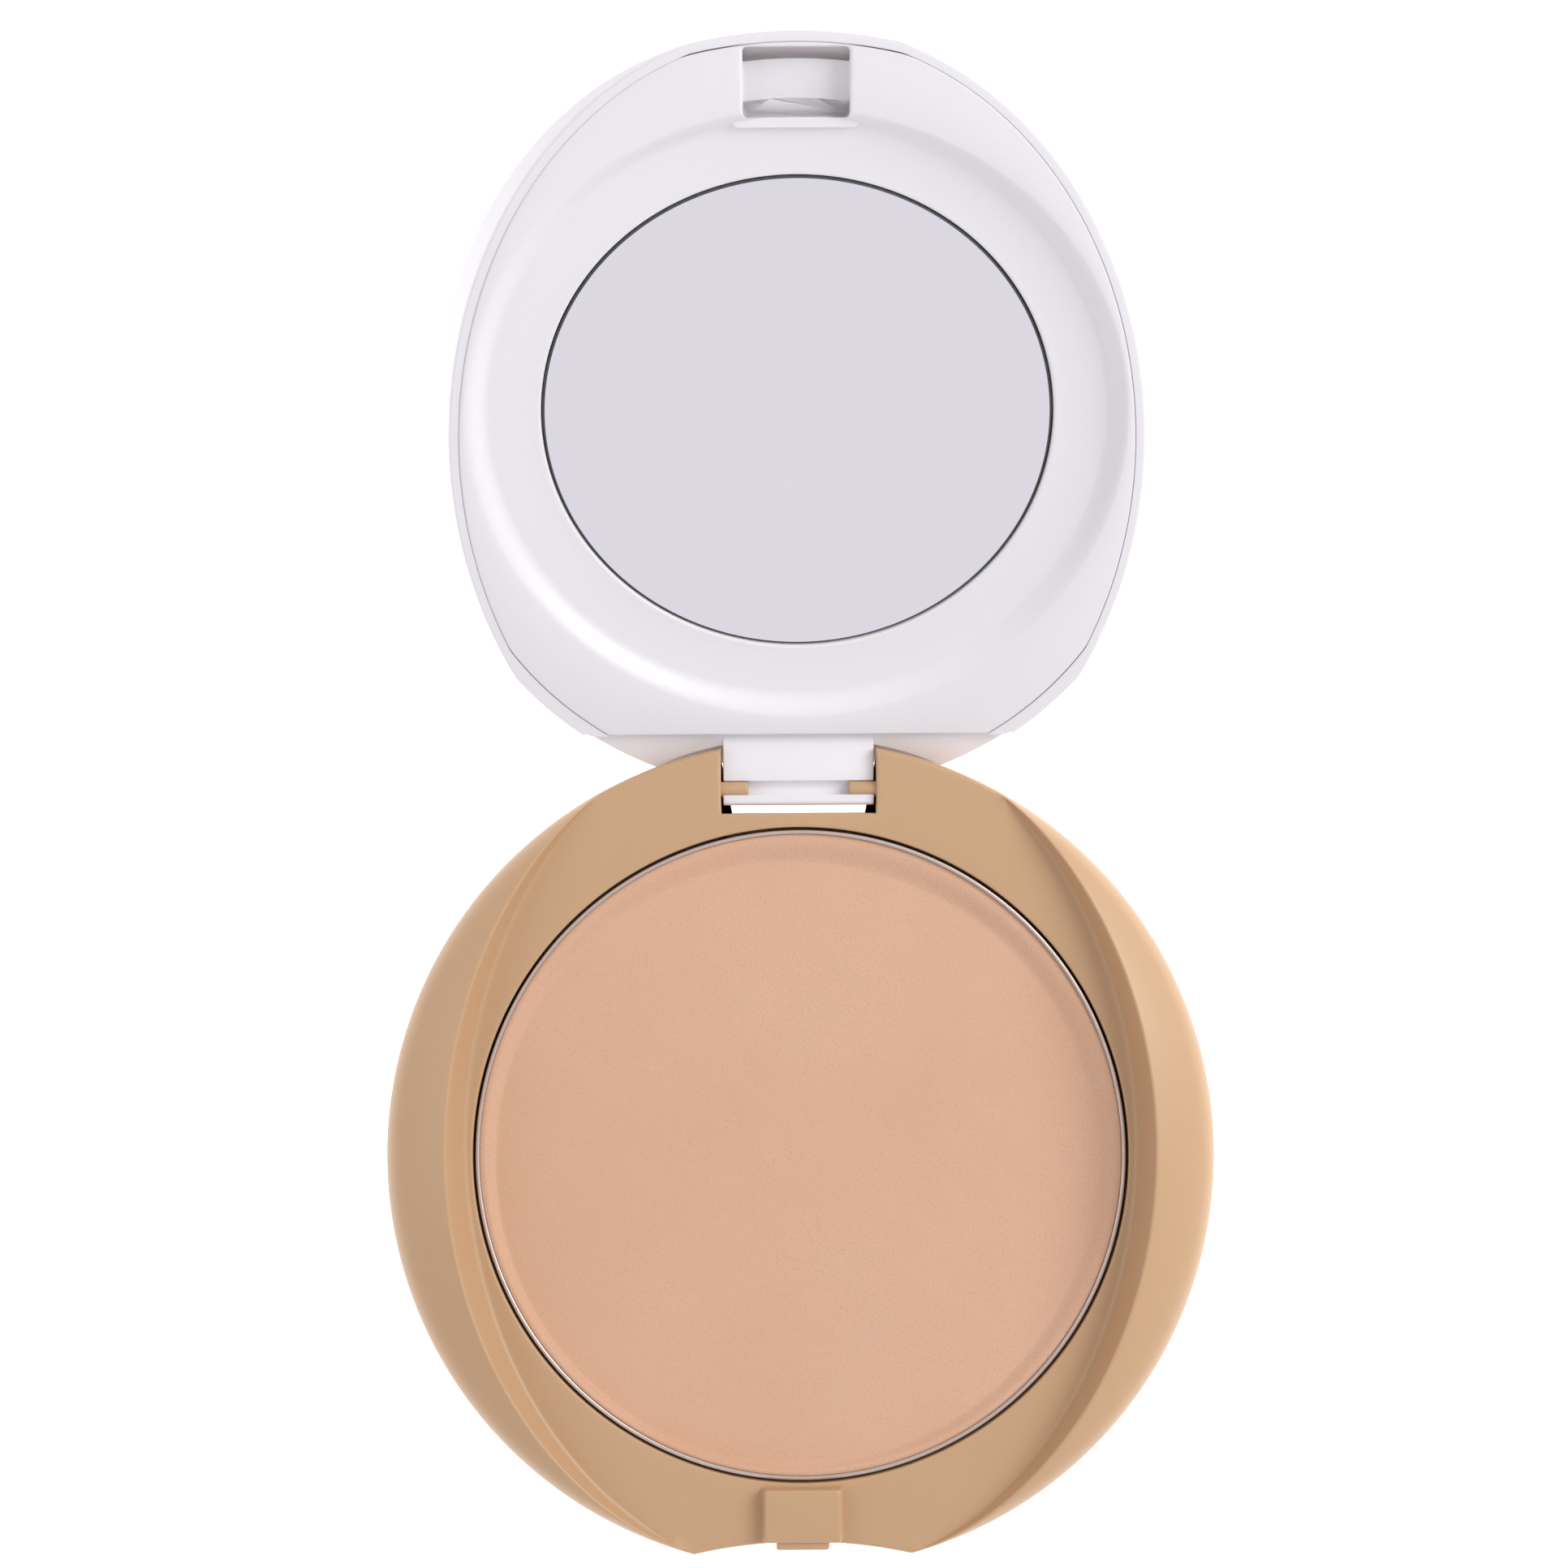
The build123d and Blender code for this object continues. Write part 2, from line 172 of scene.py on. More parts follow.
def skin(name, rows, sharp=40.0, fill=False):
    """A closed surface of two parameters: rows[i, j] is the point at step i along the profile
    and step j round it. Four neighbours make a face; rows that shrink to a point close into a
    pole, and fill closes rows that stay open."""
    count, across = rows.shape[:2]
    along = np.arange(count - 1)[:, None] * across
    step = np.arange(across)[None, :]
    following = (step + 1) % across
    faces = np.stack([along + step, along + following, along + across + following,
                      along + across + step], axis=-1).reshape(-1, 4)
    mesh = bpy.data.meshes.new(name)
    mesh.from_pydata(rows.reshape(-1, 3) * MM, [], faces)
    shape = bmesh.new()
    shape.from_mesh(mesh)
    bmesh.ops.remove_doubles(shape, verts=shape.verts, dist=MERGE)
    bmesh.ops.dissolve_degenerate(shape, edges=shape.edges, dist=MERGE)
    if fill:
        bmesh.ops.holes_fill(shape, edges=shape.edges)
    bmesh.ops.recalc_face_normals(shape, faces=shape.faces)
    shape.to_mesh(mesh)
    shape.free()
    smooth(mesh, sharp)
    piece = bpy.data.objects.new(name, mesh)
    bpy.context.scene.collection.objects.link(piece)
    return piece


def smooth(mesh, sharp):
    """Shades a mesh smooth but for edges sharper than an angle in degrees."""
    mesh.polygons.foreach_set("use_smooth", np.ones(len(mesh.polygons), bool))
    mesh.set_sharp_from_angle(angle=math.radians(sharp))


def settle(piece, body, slot, material, *nodes):
    """Gives a new piece its body and its material, and hides the nodes that it stands for; the
    slot is not used.
    """
    piece.data.materials.clear()
    piece.data.materials.append(material)
    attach(piece, body)
    if nodes:
        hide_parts(*nodes)


def dress(node, material):
    """Puts a material on every slot of a node that keeps its own shape."""
    mesh = frame["nodes"][node].data
    if not mesh.materials:
        mesh.materials.append(material)
    for index in range(len(mesh.materials)):
        mesh.materials[index] = material


def curve(start, control, end, steps):
    """Points on the quadratic curve from start to end that heads for control at both ends."""
    t = np.linspace(0, 1, steps)[:, None, None]
    return (1 - t) ** 2 * start + 2 * t * (1 - t) * control + t ** 2 * end


def line(start, end, steps):
    """Evenly spaced points from start to end."""
    t = np.linspace(0, 1, steps)[:, None, None]
    return (1 - t) * start + t * end


def point(x, y, z):
    """One row of points from three coordinates, each an array or one number."""
    return np.stack(np.broadcast_arrays(x, y, z), axis=-1).astype(float)


def around(turn, radius, height, x=0.0, y=0.0):
    """Points in the directions turn at distances and heights from an upright line at x, y."""
    return point(x + radius * np.cos(turn), y + radius * np.sin(turn), height)


def drawn_in(row, share):
    """A row of points drawn in towards the upright line through the origin."""
    return row * [share, share, 1]


def revolved(name, radii, heights, steps=256, centre=(0, 0), sharp=40.0):
    """The profile of radii and heights turned round an upright line through centre."""
    turn = np.linspace(0, 2 * np.pi, steps, endpoint=False)[None, :]
    radii = np.asarray(radii, float)[:, None]
    heights = np.asarray(heights, float)[:, None]
    return skin(name, around(turn, radii, heights, *centre), sharp)


def rounded_profile(corners, radii, steps=7):
    """A polyline of (radius, height) corners with each corner cut back by its rounding and
    replaced by a quadratic curve."""
    corners = np.asarray(corners, float)
    points = [corners[:1]]
    for before, corner, after, cut in zip(corners[:-2], corners[1:-1], corners[2:], radii):
        start = corner + (before - corner) * cut / np.linalg.norm(before - corner)
        end = corner + (after - corner) * cut / np.linalg.norm(after - corner)
        t = np.linspace(0, 1, steps)[:, None]
        points.append((1 - t) ** 2 * start + 2 * t * (1 - t) * corner + t ** 2 * end)
    points.append(corners[-1:])
    return np.concatenate(points).T


def opened(piece):
    """Turns a piece of the lid from closed to the open stop about the hinge axis: y and z turn
    by the open angle, and x stays."""
    mesh = piece.data
    place = np.empty(len(mesh.vertices) * 3)
    mesh.vertices.foreach_get("co", place)
    place = place.reshape(-1, 3)
    y = place[:, 1] - HINGE_Y * MM
    z = place[:, 2] - HINGE_Z * MM
    cosine = math.cos(OPEN_ANGLE)
    sine = math.sin(OPEN_ANGLE)
    place[:, 1] = HINGE_Y * MM + cosine * y + sine * z
    place[:, 2] = HINGE_Z * MM - sine * y + cosine * z
    mesh.vertices.foreach_set("co", place.ravel())
    mesh.update()
    return piece


# ==== The compact's form ====

def outline_radius(height, inset=0.0):
    """Radius of the closed compact at a height: a rim arc, a shoulder arc and a crown arc meet
    without a corner, and the radius is the arc's centre plus the root of its radius squared less
    the height squared."""
    rise = np.abs(np.asarray(height, float) - WIDEST)
    rim = rise < (RIM_RADIUS - inset) * math.sin(RIM_TURN)
    shoulder = rise < (SHOULDER_RADIUS - inset) * math.sin(SHOULDER_TURN) - SHOULDER_DROP
    reach = np.where(rim, RIM_REACH, np.where(shoulder, SHOULDER_REACH, 0))
    drop = np.where(rim, 0, np.where(shoulder, SHOULDER_DROP, CROWN_DROP))
    radius = np.where(rim, RIM_RADIUS, np.where(shoulder, SHOULDER_RADIUS, CROWN_RADIUS)) - inset
    return reach + np.sqrt(np.maximum(radius ** 2 - (rise + drop) ** 2, 0))


def search(low, high, below):
    """Closes in by halves on the place up to which below holds."""
    for _ in range(SEARCH_STEPS):
        middle = (low + high) / 2
        under = below(middle)
        low = np.where(under, middle, low)
        high = np.where(under, high, middle)
    return low


def oval_radius(turn, spread, centre_y=0.0):
    """Distance from (0, centre_y) to the bay's oval, grown by spread, in the direction turn:
    the positive root of the line's quadratic with the oval."""
    half_width = BAY_HALF_WIDTH + spread
    half_length = BAY_HALF_LENGTH + spread
    offset = BAY_OFFSET - centre_y
    a = (np.cos(turn) / half_width) ** 2 + (np.sin(turn) / half_length) ** 2
    b = -2 * np.sin(turn) * offset / half_length ** 2
    c = (offset / half_length) ** 2 - 1
    return (-b + np.sqrt(b ** 2 - 4 * a * c)) / (2 * a)


def ridge_height(turn):
    """Height above the deck at which the bay's leaning wall meets the compact's outside; nought
    where the wall lies outside the rim."""
    rise = search(np.zeros_like(turn), np.full_like(turn, CLOSED_HEIGHT - DECK - 0.01),
                  lambda rise: oval_radius(turn, BAY_LEAN * rise) < outline_radius(DECK + rise))
    return np.where(oval_radius(turn, 0.0) < outline_radius(DECK), rise, 0)


def scoop_radius(turn, height):
    """Distance from the centre to the thumb scoop's leaning cylinder, whose level section is an
    oval; very far where a line from the centre misses it."""
    half_length = SCOOP_RADIUS / math.cos(SCOOP_TILT)
    centre = (-(outline_radius(DECK) - SCOOP_DEPTH) - half_length
              - math.tan(SCOOP_TILT) * (DECK - height))
    a = (np.cos(turn) / SCOOP_RADIUS) ** 2 + (np.sin(turn) / half_length) ** 2
    b = -2 * np.sin(turn) * centre / half_length ** 2
    c = (centre / half_length) ** 2 - 1
    under = b ** 2 - 4 * a * c
    near = (-b - np.sqrt(np.maximum(under, 0))) / (2 * a)
    return np.where((under > 0) & (near > 0), near, FAR)


# Directions at which the base's columns change what they run out to, on the right half.
FAN_START = math.radians(62)
FAN_CORNER = math.radians(70)
SLOT_CORNER = math.atan2(SLOT_FRONT, SLOT_HALF_WIDTH)


def base_columns():
    """Directions of the base's columns at the pan well, over the right half and then the left,
    closer together at the hinge lugs and the wings' tips."""
    stops = (-90, -68, 50, 62, 70, math.degrees(SLOT_CORNER))
    runs = [np.linspace(start, end, count, endpoint=False)
            for start, end, count in zip(stops[:-1], stops[1:], (26, 100, 20, 12, 12))]
    half = np.radians(np.concatenate(runs + [np.linspace(stops[-1], 90, 12)]))
    return np.concatenate([half, np.pi - half[-2:0:-1]])


def base_edge(turn, height):
    """Plan position of the base's outside for the columns at a height. Most columns run out
    along their own direction to the nearer of the rim and the thumb scoop. From the fan's start
    to its corner they reach the rim up to the lug's corner, from there to the slot's corner they
    reach the lug's inner side, and the rest reach the slot's front wall. Where the rim is drawn
    in past the slot they all lie on the rim."""
    side = np.where(np.cos(turn) < 0, -1.0, 1.0)
    right = np.where(side < 0, np.pi - turn, turn)
    rim = outline_radius(height)
    radius = np.minimum(rim, scoop_radius(right, height))
    x = radius * np.cos(right)
    y = radius * np.sin(right)
    lug_turn = np.arccos(SLOT_HALF_WIDTH / rim)
    share = np.clip((right - FAN_START) / (FAN_CORNER - FAN_START), 0, 1)
    fan_turn = FAN_START + share * (lug_turn - FAN_START)
    fan = (right >= FAN_START) & (right <= FAN_CORNER)
    x = np.where(fan, rim * np.cos(fan_turn), x)
    y = np.where(fan, rim * np.sin(fan_turn), y)
    lug = (right > FAN_CORNER) & (right < SLOT_CORNER)
    share = np.clip((right - FAN_CORNER) / (SLOT_CORNER - FAN_CORNER), 0, 1)
    lug_end = np.sqrt(rim ** 2 - SLOT_HALF_WIDTH ** 2)
    under = lug_end < SLOT_FRONT
    under_turn = lug_turn + share * (SLOT_CORNER - lug_turn)
    x = np.where(lug, np.where(under, rim * np.cos(under_turn), SLOT_HALF_WIDTH), x)
    y = np.where(lug, np.where(under, rim * np.sin(under_turn),
                               lug_end + share * (SLOT_FRONT - lug_end)), y)
    slot = right >= SLOT_CORNER - EVEN
    reach = np.minimum(SLOT_FRONT / np.sin(right), rim)
    x = np.where(slot, reach * np.cos(right), x)
    y = np.where(slot, reach * np.sin(right), y)
    return side * x, y


def base_row(turn, height):
    """The row of points on the base's outside at a height, one for each column."""
    x, y = base_edge(turn, height)
    return point(x, y, height)


def base_moulding(rounding, fillet):
    """The base's upper half as one closed surface: well floor, well wall, deck, bay wall, ridge,
    outside down to the seam, and underside. Each column is a profile of straight runs joined by
    quadratic curves; the deck's run ends at the bay wall's foot, or at the rim where no wing
    stands."""
    turn = base_columns()
    edge = base_row(turn, DECK)
    rise = ridge_height(turn)
    wing = rise[:, None] > 0
    top = DECK + rise
    ridge = np.where(wing, around(turn, outline_radius(top), top), edge)
    foot = np.where(wing, around(turn, oval_radius(turn, 0.0), DECK), edge)
    well = around(turn, WELL_RADIUS, DECK)
    run = foot - well
    run_length = np.linalg.norm(run, axis=1, keepdims=True)
    ahead = run / run_length
    wall_length = np.linalg.norm(ridge - foot, axis=1, keepdims=True)
    wall_ahead = (ridge - foot) / np.maximum(wall_length, EVEN)

    def back(distance):
        """The point that far back from the ridge, down the wall and then along the deck."""
        on_wall = ridge - wall_ahead * distance
        on_deck = foot - ahead * (distance - wall_length)
        return np.where(distance <= wall_length, on_wall, on_deck)

    right = np.where(np.cos(turn) < 0, np.pi - turn, turn)
    lug = (right > FAN_CORNER) & (right < SLOT_CORNER)
    least_slant = 0.25
    slant = np.where(lug, np.maximum(np.abs(ahead[:, 0]), least_slant), 1.0)[:, None]
    cut = np.minimum(rounding / slant, NEARLY_HALF * (run_length + wall_length))
    foot_at = np.maximum(wall_length, cut)
    foot_cut = np.clip(np.minimum(fillet, NEARLY_HALF * (wall_length - cut)), 0, None)
    step = 0.01
    longest = 0.9
    fall = base_row(turn, top) - base_row(turn, top - step)
    slope = fall[:, 2] / np.linalg.norm(fall, axis=1)
    start = top - np.minimum(rounding * slope, longest)
    shares = 1 - np.cos(np.linspace(0, np.pi / 2, 24))
    outer = np.stack([base_row(turn, start + (SEAM + GROOVE_HEIGHT - start) * share)
                      for share in shares[1:]])
    bottom = base_row(turn, np.full_like(turn, SEAM))
    plan = np.linalg.norm(bottom[:, :2], axis=1, keepdims=True)
    bottom_inner = bottom.copy()
    bottom_inner[:, :2] *= (plan - GROOVE_DEPTH) / plan
    well_out = bottom.copy()
    well_out[:, :2] *= np.minimum(WELL_OUTSIDE, plan - LEAST_WALL) / plan
    well_low = well_out.copy()
    well_low[:, 2] = WELL_FLOOR - UNDER_WELL
    well_rim = well - [0, 0, MOUTH_ROUNDING]
    well_foot = well.copy()
    well_foot[:, 2] = WELL_FLOOR
    mouth = well + ahead * MOUTH_ROUNDING
    rows = [line(drawn_in(well_foot, EVEN), well_foot, 3),
            line(well_foot, well_rim, 5)[1:],
            curve(well_rim, well, mouth, 5)[1:],
            line(mouth, back(foot_at + foot_cut), 7)[1:],
            curve(back(foot_at + foot_cut), back(foot_at), back(foot_at - foot_cut), 6)[1:],
            line(back(foot_at - foot_cut), back(cut), 4)[1:],
            curve(back(cut), ridge, base_row(turn, start), 8)[1:],
            outer,
            bottom_inner[None], well_out[None], well_low[None],
            drawn_in(well_low, EVEN)[None]]
    return skin("base_moulding", np.concatenate(rows))


def base_bowl():
    """The base's lower half: the outside carries on below the seam to the flat foot, with the
    label's recess in the middle of the foot."""
    turn = base_columns()
    heights = np.linspace(SEAM - GROOVE_HEIGHT, FOOT_ROUNDING, 22)
    outer = np.stack([base_row(turn, height) for height in heights])
    top = base_row(turn, np.full_like(turn, SEAM))
    plan = np.linalg.norm(top[:, :2], axis=1, keepdims=True)
    top_inner = top.copy()
    top_inner[:, :2] *= (plan - GROOVE_DEPTH) / plan
    dip = [0, 0, BOWL_DIP]
    foot = base_row(turn, np.zeros_like(turn))
    foot_inner = drawn_in(foot, FOOT_SHARE)
    label_edge = around(turn, LABEL_ROOM, 0.0)
    label_deep = label_edge + [0, 0, LABEL_DEPTH]
    rows = [(drawn_in(top, EVEN) - dip)[None], (drawn_in(top, 0.8) - dip)[None],
            drawn_in(top, 0.95)[None], top_inner[None], outer,
            curve(outer[-1], foot, foot_inner, 5)[1:],
            line(foot_inner, label_edge, 4)[1:], label_deep[None],
            drawn_in(label_deep, EVEN)[None]]
    return skin("base_bowl", np.concatenate(rows))


def rounded_block(name, levels, corner, steps=8):
    """Stacked rounded rectangles: each level gives the half width, the half length, the corner's
    inset and the centre; the first and last shrink to a point to close the ends."""
    quarter = np.linspace(0, np.pi / 2, steps)
    turn = np.concatenate([quarter + n * np.pi / 2 for n in range(4)])
    sign_x = np.repeat([1, -1, -1, 1], steps)
    sign_y = np.repeat([1, 1, -1, -1], steps)
    rows = []
    for half_x, half_y, y, z in levels:
        radius = min(corner, half_x, half_y)
        rows.append(point(sign_x * (half_x - radius) + radius * np.cos(turn),
                          y + sign_y * (half_y - radius) + radius * np.sin(turn), z))
    return skin(name, np.stack(rows), sharp=50)


def dome_levels(half_x, half_y, y, low, high, rounding, draft=0.0, steps=6, both=False):
    """Levels of a block that narrows by draft towards its top, where a quarter circle rounds
    its edges; both rounds the lower edges too."""
    turn = np.linspace(0, np.pi / 2, steps)
    inset = rounding * (1 - np.cos(turn))
    rise = rounding * np.sin(turn)
    levels = [(EVEN, EVEN, y, low)]
    if both:
        levels += [(half_x - a, half_y - a, y, low + rounding - b)
                   for a, b in zip(inset[::-1], rise[::-1])]
    else:
        levels.append((half_x, half_y, y, low))
    levels += [(half_x - draft - a, half_y - a, y, high - rounding + b)
               for a, b in zip(inset, rise)]
    return levels + [(EVEN, EVEN, y, high)]


def hinge_round(name, along, radius, steps):
    """A solid turned about the hinge axis: a circle of the radius at each place along x."""
    turn = np.linspace(0, 2 * np.pi, steps, endpoint=False)[None, :]
    radius = radius[:, None]
    return skin(name, point(along[:, None], HINGE_Y + radius * np.cos(turn),
                            HINGE_Z + radius * np.sin(turn)))


def hinge_pin(name, side):
    """A short pin with a rounded end."""
    root = SLOT_HALF_WIDTH + 1
    from_end = np.array([0.30, 0.19, 0.10, 0.03, 0.0, 0.0])
    drawn = np.array([0.0, 0.012, 0.05, 0.12, 0.22])
    along = side * np.concatenate([[root, root], PIN_END + from_end])
    radius = np.concatenate([[EVEN, PIN_RADIUS], PIN_RADIUS - drawn, [EVEN]])
    return hinge_round(name, along, radius, 48)


def powder_surface(depth):
    """The powder as one closed surface. Inside the foot ring, which lies off centre, it is flat
    but for low waves that are sums of sines; from there it rises in an S to its edge, which the
    puff has left standing."""
    turn = np.linspace(0, 2 * np.pi, 400, endpoint=False)
    top = POWDER_HIGH.z
    edge = POWDER_HIGH.x
    floor = top - depth
    wobble = 0.10 * np.sin(3 * turn + 0.6) + 0.06 * np.sin(7 * turn + 2.1)
    foot = around(turn, edge - SLOPE_WIDTH + wobble, floor, FOOT_RING_X, FOOT_RING_Y)
    lip = edge - LAND_WIDTH + 0.04 * np.sin(5 * turn) + 0.03 * np.sin(11 * turn + 1.0)
    mouth = around(turn, lip, top)
    share = np.linspace(EVEN, 1, 90)[:, None, None]
    flat = foot * [1, 1, 0] * share + [0, 0, floor]
    x, y = flat[..., 0], flat[..., 1]
    fade = 1 - share[..., 0] ** 6
    flat[..., 2] += fade * (0.022 * np.sin(0.31 * x + 0.8) * np.cos(0.27 * y - 0.4)
                            + 0.012 * np.sin(0.74 * x - 0.52 * y) + 0.008 * np.sin(1.3 * y + x))
    t = np.linspace(0, 1, 22)[1:, None]
    rise = t ** 1.7 * (2.7 - 1.7 * t)
    slope = point(foot[:, 0] + t * (mouth[:, 0] - foot[:, 0]),
                  foot[:, 1] + t * (mouth[:, 1] - foot[:, 1]), floor + depth * rise)
    corner = around(turn, edge, top)
    rim = corner - [0, 0, LAND_DROP]
    land = curve(slope[-1], 0.35 * slope[-1] + 0.65 * corner, rim, 5)[1:]
    low = rim * [1, 1, 0] + [0, 0, POWDER_LOW.z]
    rows = [flat, slope, land, low[None], drawn_in(low, EVEN)[None]]
    return skin("powder_cake", np.concatenate(rows), sharp=60)


def lid_edge(turn, height, inset=0.0, tail_inset=0.0):
    """Distance from the dish's centre to the lid's outside at a height, drawn in by inset: the
    nearest of the bay's oval and the closed compact's outside, and behind the tail's centre the
    arc that rounds the rear corners, drawn in by its own inset."""
    oval = oval_radius(turn, BAY_LEAN * (height - DECK) - LID_GAP - inset, DISH_OFFSET)
    circle = outline_radius(height, inset)
    reach = (-DISH_OFFSET * np.sin(turn)
             + np.sqrt(circle ** 2 - (DISH_OFFSET * np.cos(turn)) ** 2))
    shift = TAIL_OFFSET - DISH_OFFSET
    tail = (shift * np.sin(turn)
            + np.sqrt((TAIL_RADIUS - tail_inset) ** 2 - (shift * np.cos(turn)) ** 2))
    front = np.minimum(oval, reach)
    behind = DISH_OFFSET + front * np.sin(turn) > TAIL_OFFSET
    return np.where(behind, np.minimum(front, tail), front)


def top_height(radius):
    """Height of the closed compact's upper outside at a distance from its centre line: the crown
    arc, the shoulder arc or the rim arc."""
    crown = WIDEST - CROWN_DROP + np.sqrt(CROWN_RADIUS ** 2 - radius ** 2)
    shoulder = WIDEST - SHOULDER_DROP + np.sqrt(np.maximum(
        SHOULDER_RADIUS ** 2 - (radius - SHOULDER_REACH) ** 2, 0))
    rim = WIDEST + np.sqrt(np.maximum(RIM_RADIUS ** 2 - (radius - RIM_REACH) ** 2, 0))
    return np.where(radius < CROWN_RADIUS * math.cos(SHOULDER_TURN), crown,
                    np.where(radius < RIM_REACH + RIM_RADIUS * math.cos(RIM_TURN), shoulder, rim))


def lid_row(turn, radius, height):
    """The row of points at distances from the dish's centre, at a height or heights."""
    return around(turn, radius, height, y=DISH_OFFSET)


def rear_edge(turn, depth):
    """Distance from the dish's centre to a straight edge across the lid at y = depth."""
    sine = np.sin(turn)
    return np.where(sine > STRAIGHT_SINE, (depth - DISH_OFFSET) / np.maximum(sine, STRAIGHT_SINE),
                    FAR)


def lid_columns():
    """Directions of the lid's columns about the dish's centre, with pairs close together at the
    corners of the straight rear edge."""
    corners = []
    near = 2e-4
    for inset, tail_inset in ((0.0, 0.0), (SHELL_RIM, SHELL_TAIL_RIM)):
        turn = np.radians(np.linspace(30, 90, 20001))
        depth = DISH_OFFSET + lid_edge(turn, LID_RIM, inset, tail_inset) * np.sin(turn)
        corner = turn[np.argmin(np.abs(depth - LINER_EDGE))]
        corners += [corner - near, corner + near]
    right = np.sort(np.concatenate([np.radians(np.linspace(-90, 90, 360)), corners]))
    return np.concatenate([right, np.pi - right[-2:0:-1]])


def lid_dome(rounding):
    """The lid's shell, closed, as one surface: the hidden inside, the rim, the step up to the
    tail behind the straight rear edge, the leaning wall, the ridge and the crown. Each column
    runs out from the dish's centre and back over the top."""
    turn = lid_columns()

    def at(radius, height):
        return lid_row(turn, radius, height)

    straight = rear_edge(turn, LINER_EDGE)
    inner = lid_edge(turn, LID_RIM, SHELL_RIM, SHELL_TAIL_RIM)
    in_height = np.where(straight <= inner, TAIL_UNDERSIDE, LID_RIM)
    inner = np.minimum(inner, straight)
    out_height = np.where(straight < lid_edge(turn, LID_RIM), TAIL_UNDERSIDE, LID_RIM)
    outer = lid_edge(turn, out_height)
    step = np.clip(straight, inner, outer - rounding)

    def inside(height):
        x, y = np.moveaxis(at(lid_edge(turn, height), height)[:, :2], -1, 0)
        return np.hypot(x, y) < outline_radius(height) - 1e-6

    ridge = search(out_height, np.full_like(turn, CLOSED_HEIGHT - 0.5), inside)
    ridge = np.where(ridge > out_height + 1e-4, ridge, out_height)
    ridge_radius = lid_edge(turn, ridge)
    rim_rounding = 0.6 * rounding
    wall_cut = np.minimum(rounding, NEARLY_HALF * (ridge - out_height))
    rim_cut = np.minimum(rim_rounding, NEARLY_HALF * (ridge - out_height))
    crown_start = ridge_radius - rounding
    start = at(crown_start, 0.0)
    start[:, 2] = top_height(np.hypot(start[:, 0], start[:, 1]))
    shares = np.linspace(0, 1, 44)[1:, None] ** 1.15
    crown = at(crown_start * (1 - shares) + EVEN, 0.0)
    crown[..., 2] = top_height(np.hypot(crown[..., 0], crown[..., 1]))
    wall_foot = out_height + rim_cut
    wall_top = ridge - wall_cut
    wall_high = at(lid_edge(turn, wall_top), wall_top)
    rim_in = at(outer - rim_rounding, out_height)
    walls = wall_foot + np.linspace(0, 1, 8)[1:-1, None] * (wall_top - wall_foot)
    wall = at(np.stack([lid_edge(turn, height) for height in walls]), walls)
    hidden = [at(radius, height)[None] for radius, height in
              ((EVEN, 14.4), (23.8, 12.3), (0.94 * inner, 11.2), (inner, 9.6))]
    rows = hidden + [at(inner, in_height)[None], at(step, in_height)[None],
                     at(step, out_height)[None], rim_in[None],
                     curve(rim_in, at(outer, out_height),
                           at(lid_edge(turn, wall_foot), wall_foot), 5)[1:], wall,
                     wall_high[None], curve(wall_high, at(ridge_radius, ridge), start, 7)[1:],
                     crown]
    return skin("lid_dome", np.concatenate(rows), sharp=34)


def beside_tongue(side):
    """What is cut from the shell beside the tongue: a box behind the lugs' room."""
    low = side * TONGUE_HALF_WIDTH
    high = side * 30.0
    y = np.array([HINGE_Y - 0.5, HINGE_Y - 0.5, 45.0, 45.0])
    z = np.array([0.0, 25.0, 25.0, 0.0])
    rows = [point(x, y.mean() + spread * (y - y.mean()), z.mean() + spread * (z - z.mean()))
            for x, spread in ((low, EVEN), (low, 1), (high, 1), (high, EVEN))]
    return skin("beside_tongue", np.stack(rows))


def lug_room(side):
    """Room for a hinge lug as the lid turns: its radius is the distance from the axis to the
    base's rim at each x, and a clearance more."""
    rim = outline_radius(DECK)
    end = math.sqrt(rim ** 2 - HINGE_Y ** 2) - LUG_MARGIN
    x = np.linspace(TONGUE_HALF_WIDTH, end, 14)
    radius = np.hypot(np.sqrt(rim ** 2 - x ** 2) - HINGE_Y, DECK - HINGE_Z) + LUG_CLEARANCE
    x = np.concatenate([x[:1], x, x[-1:]])
    return hinge_round("lug_room", side * x, np.concatenate([[EVEN], radius, [EVEN]]), 96)


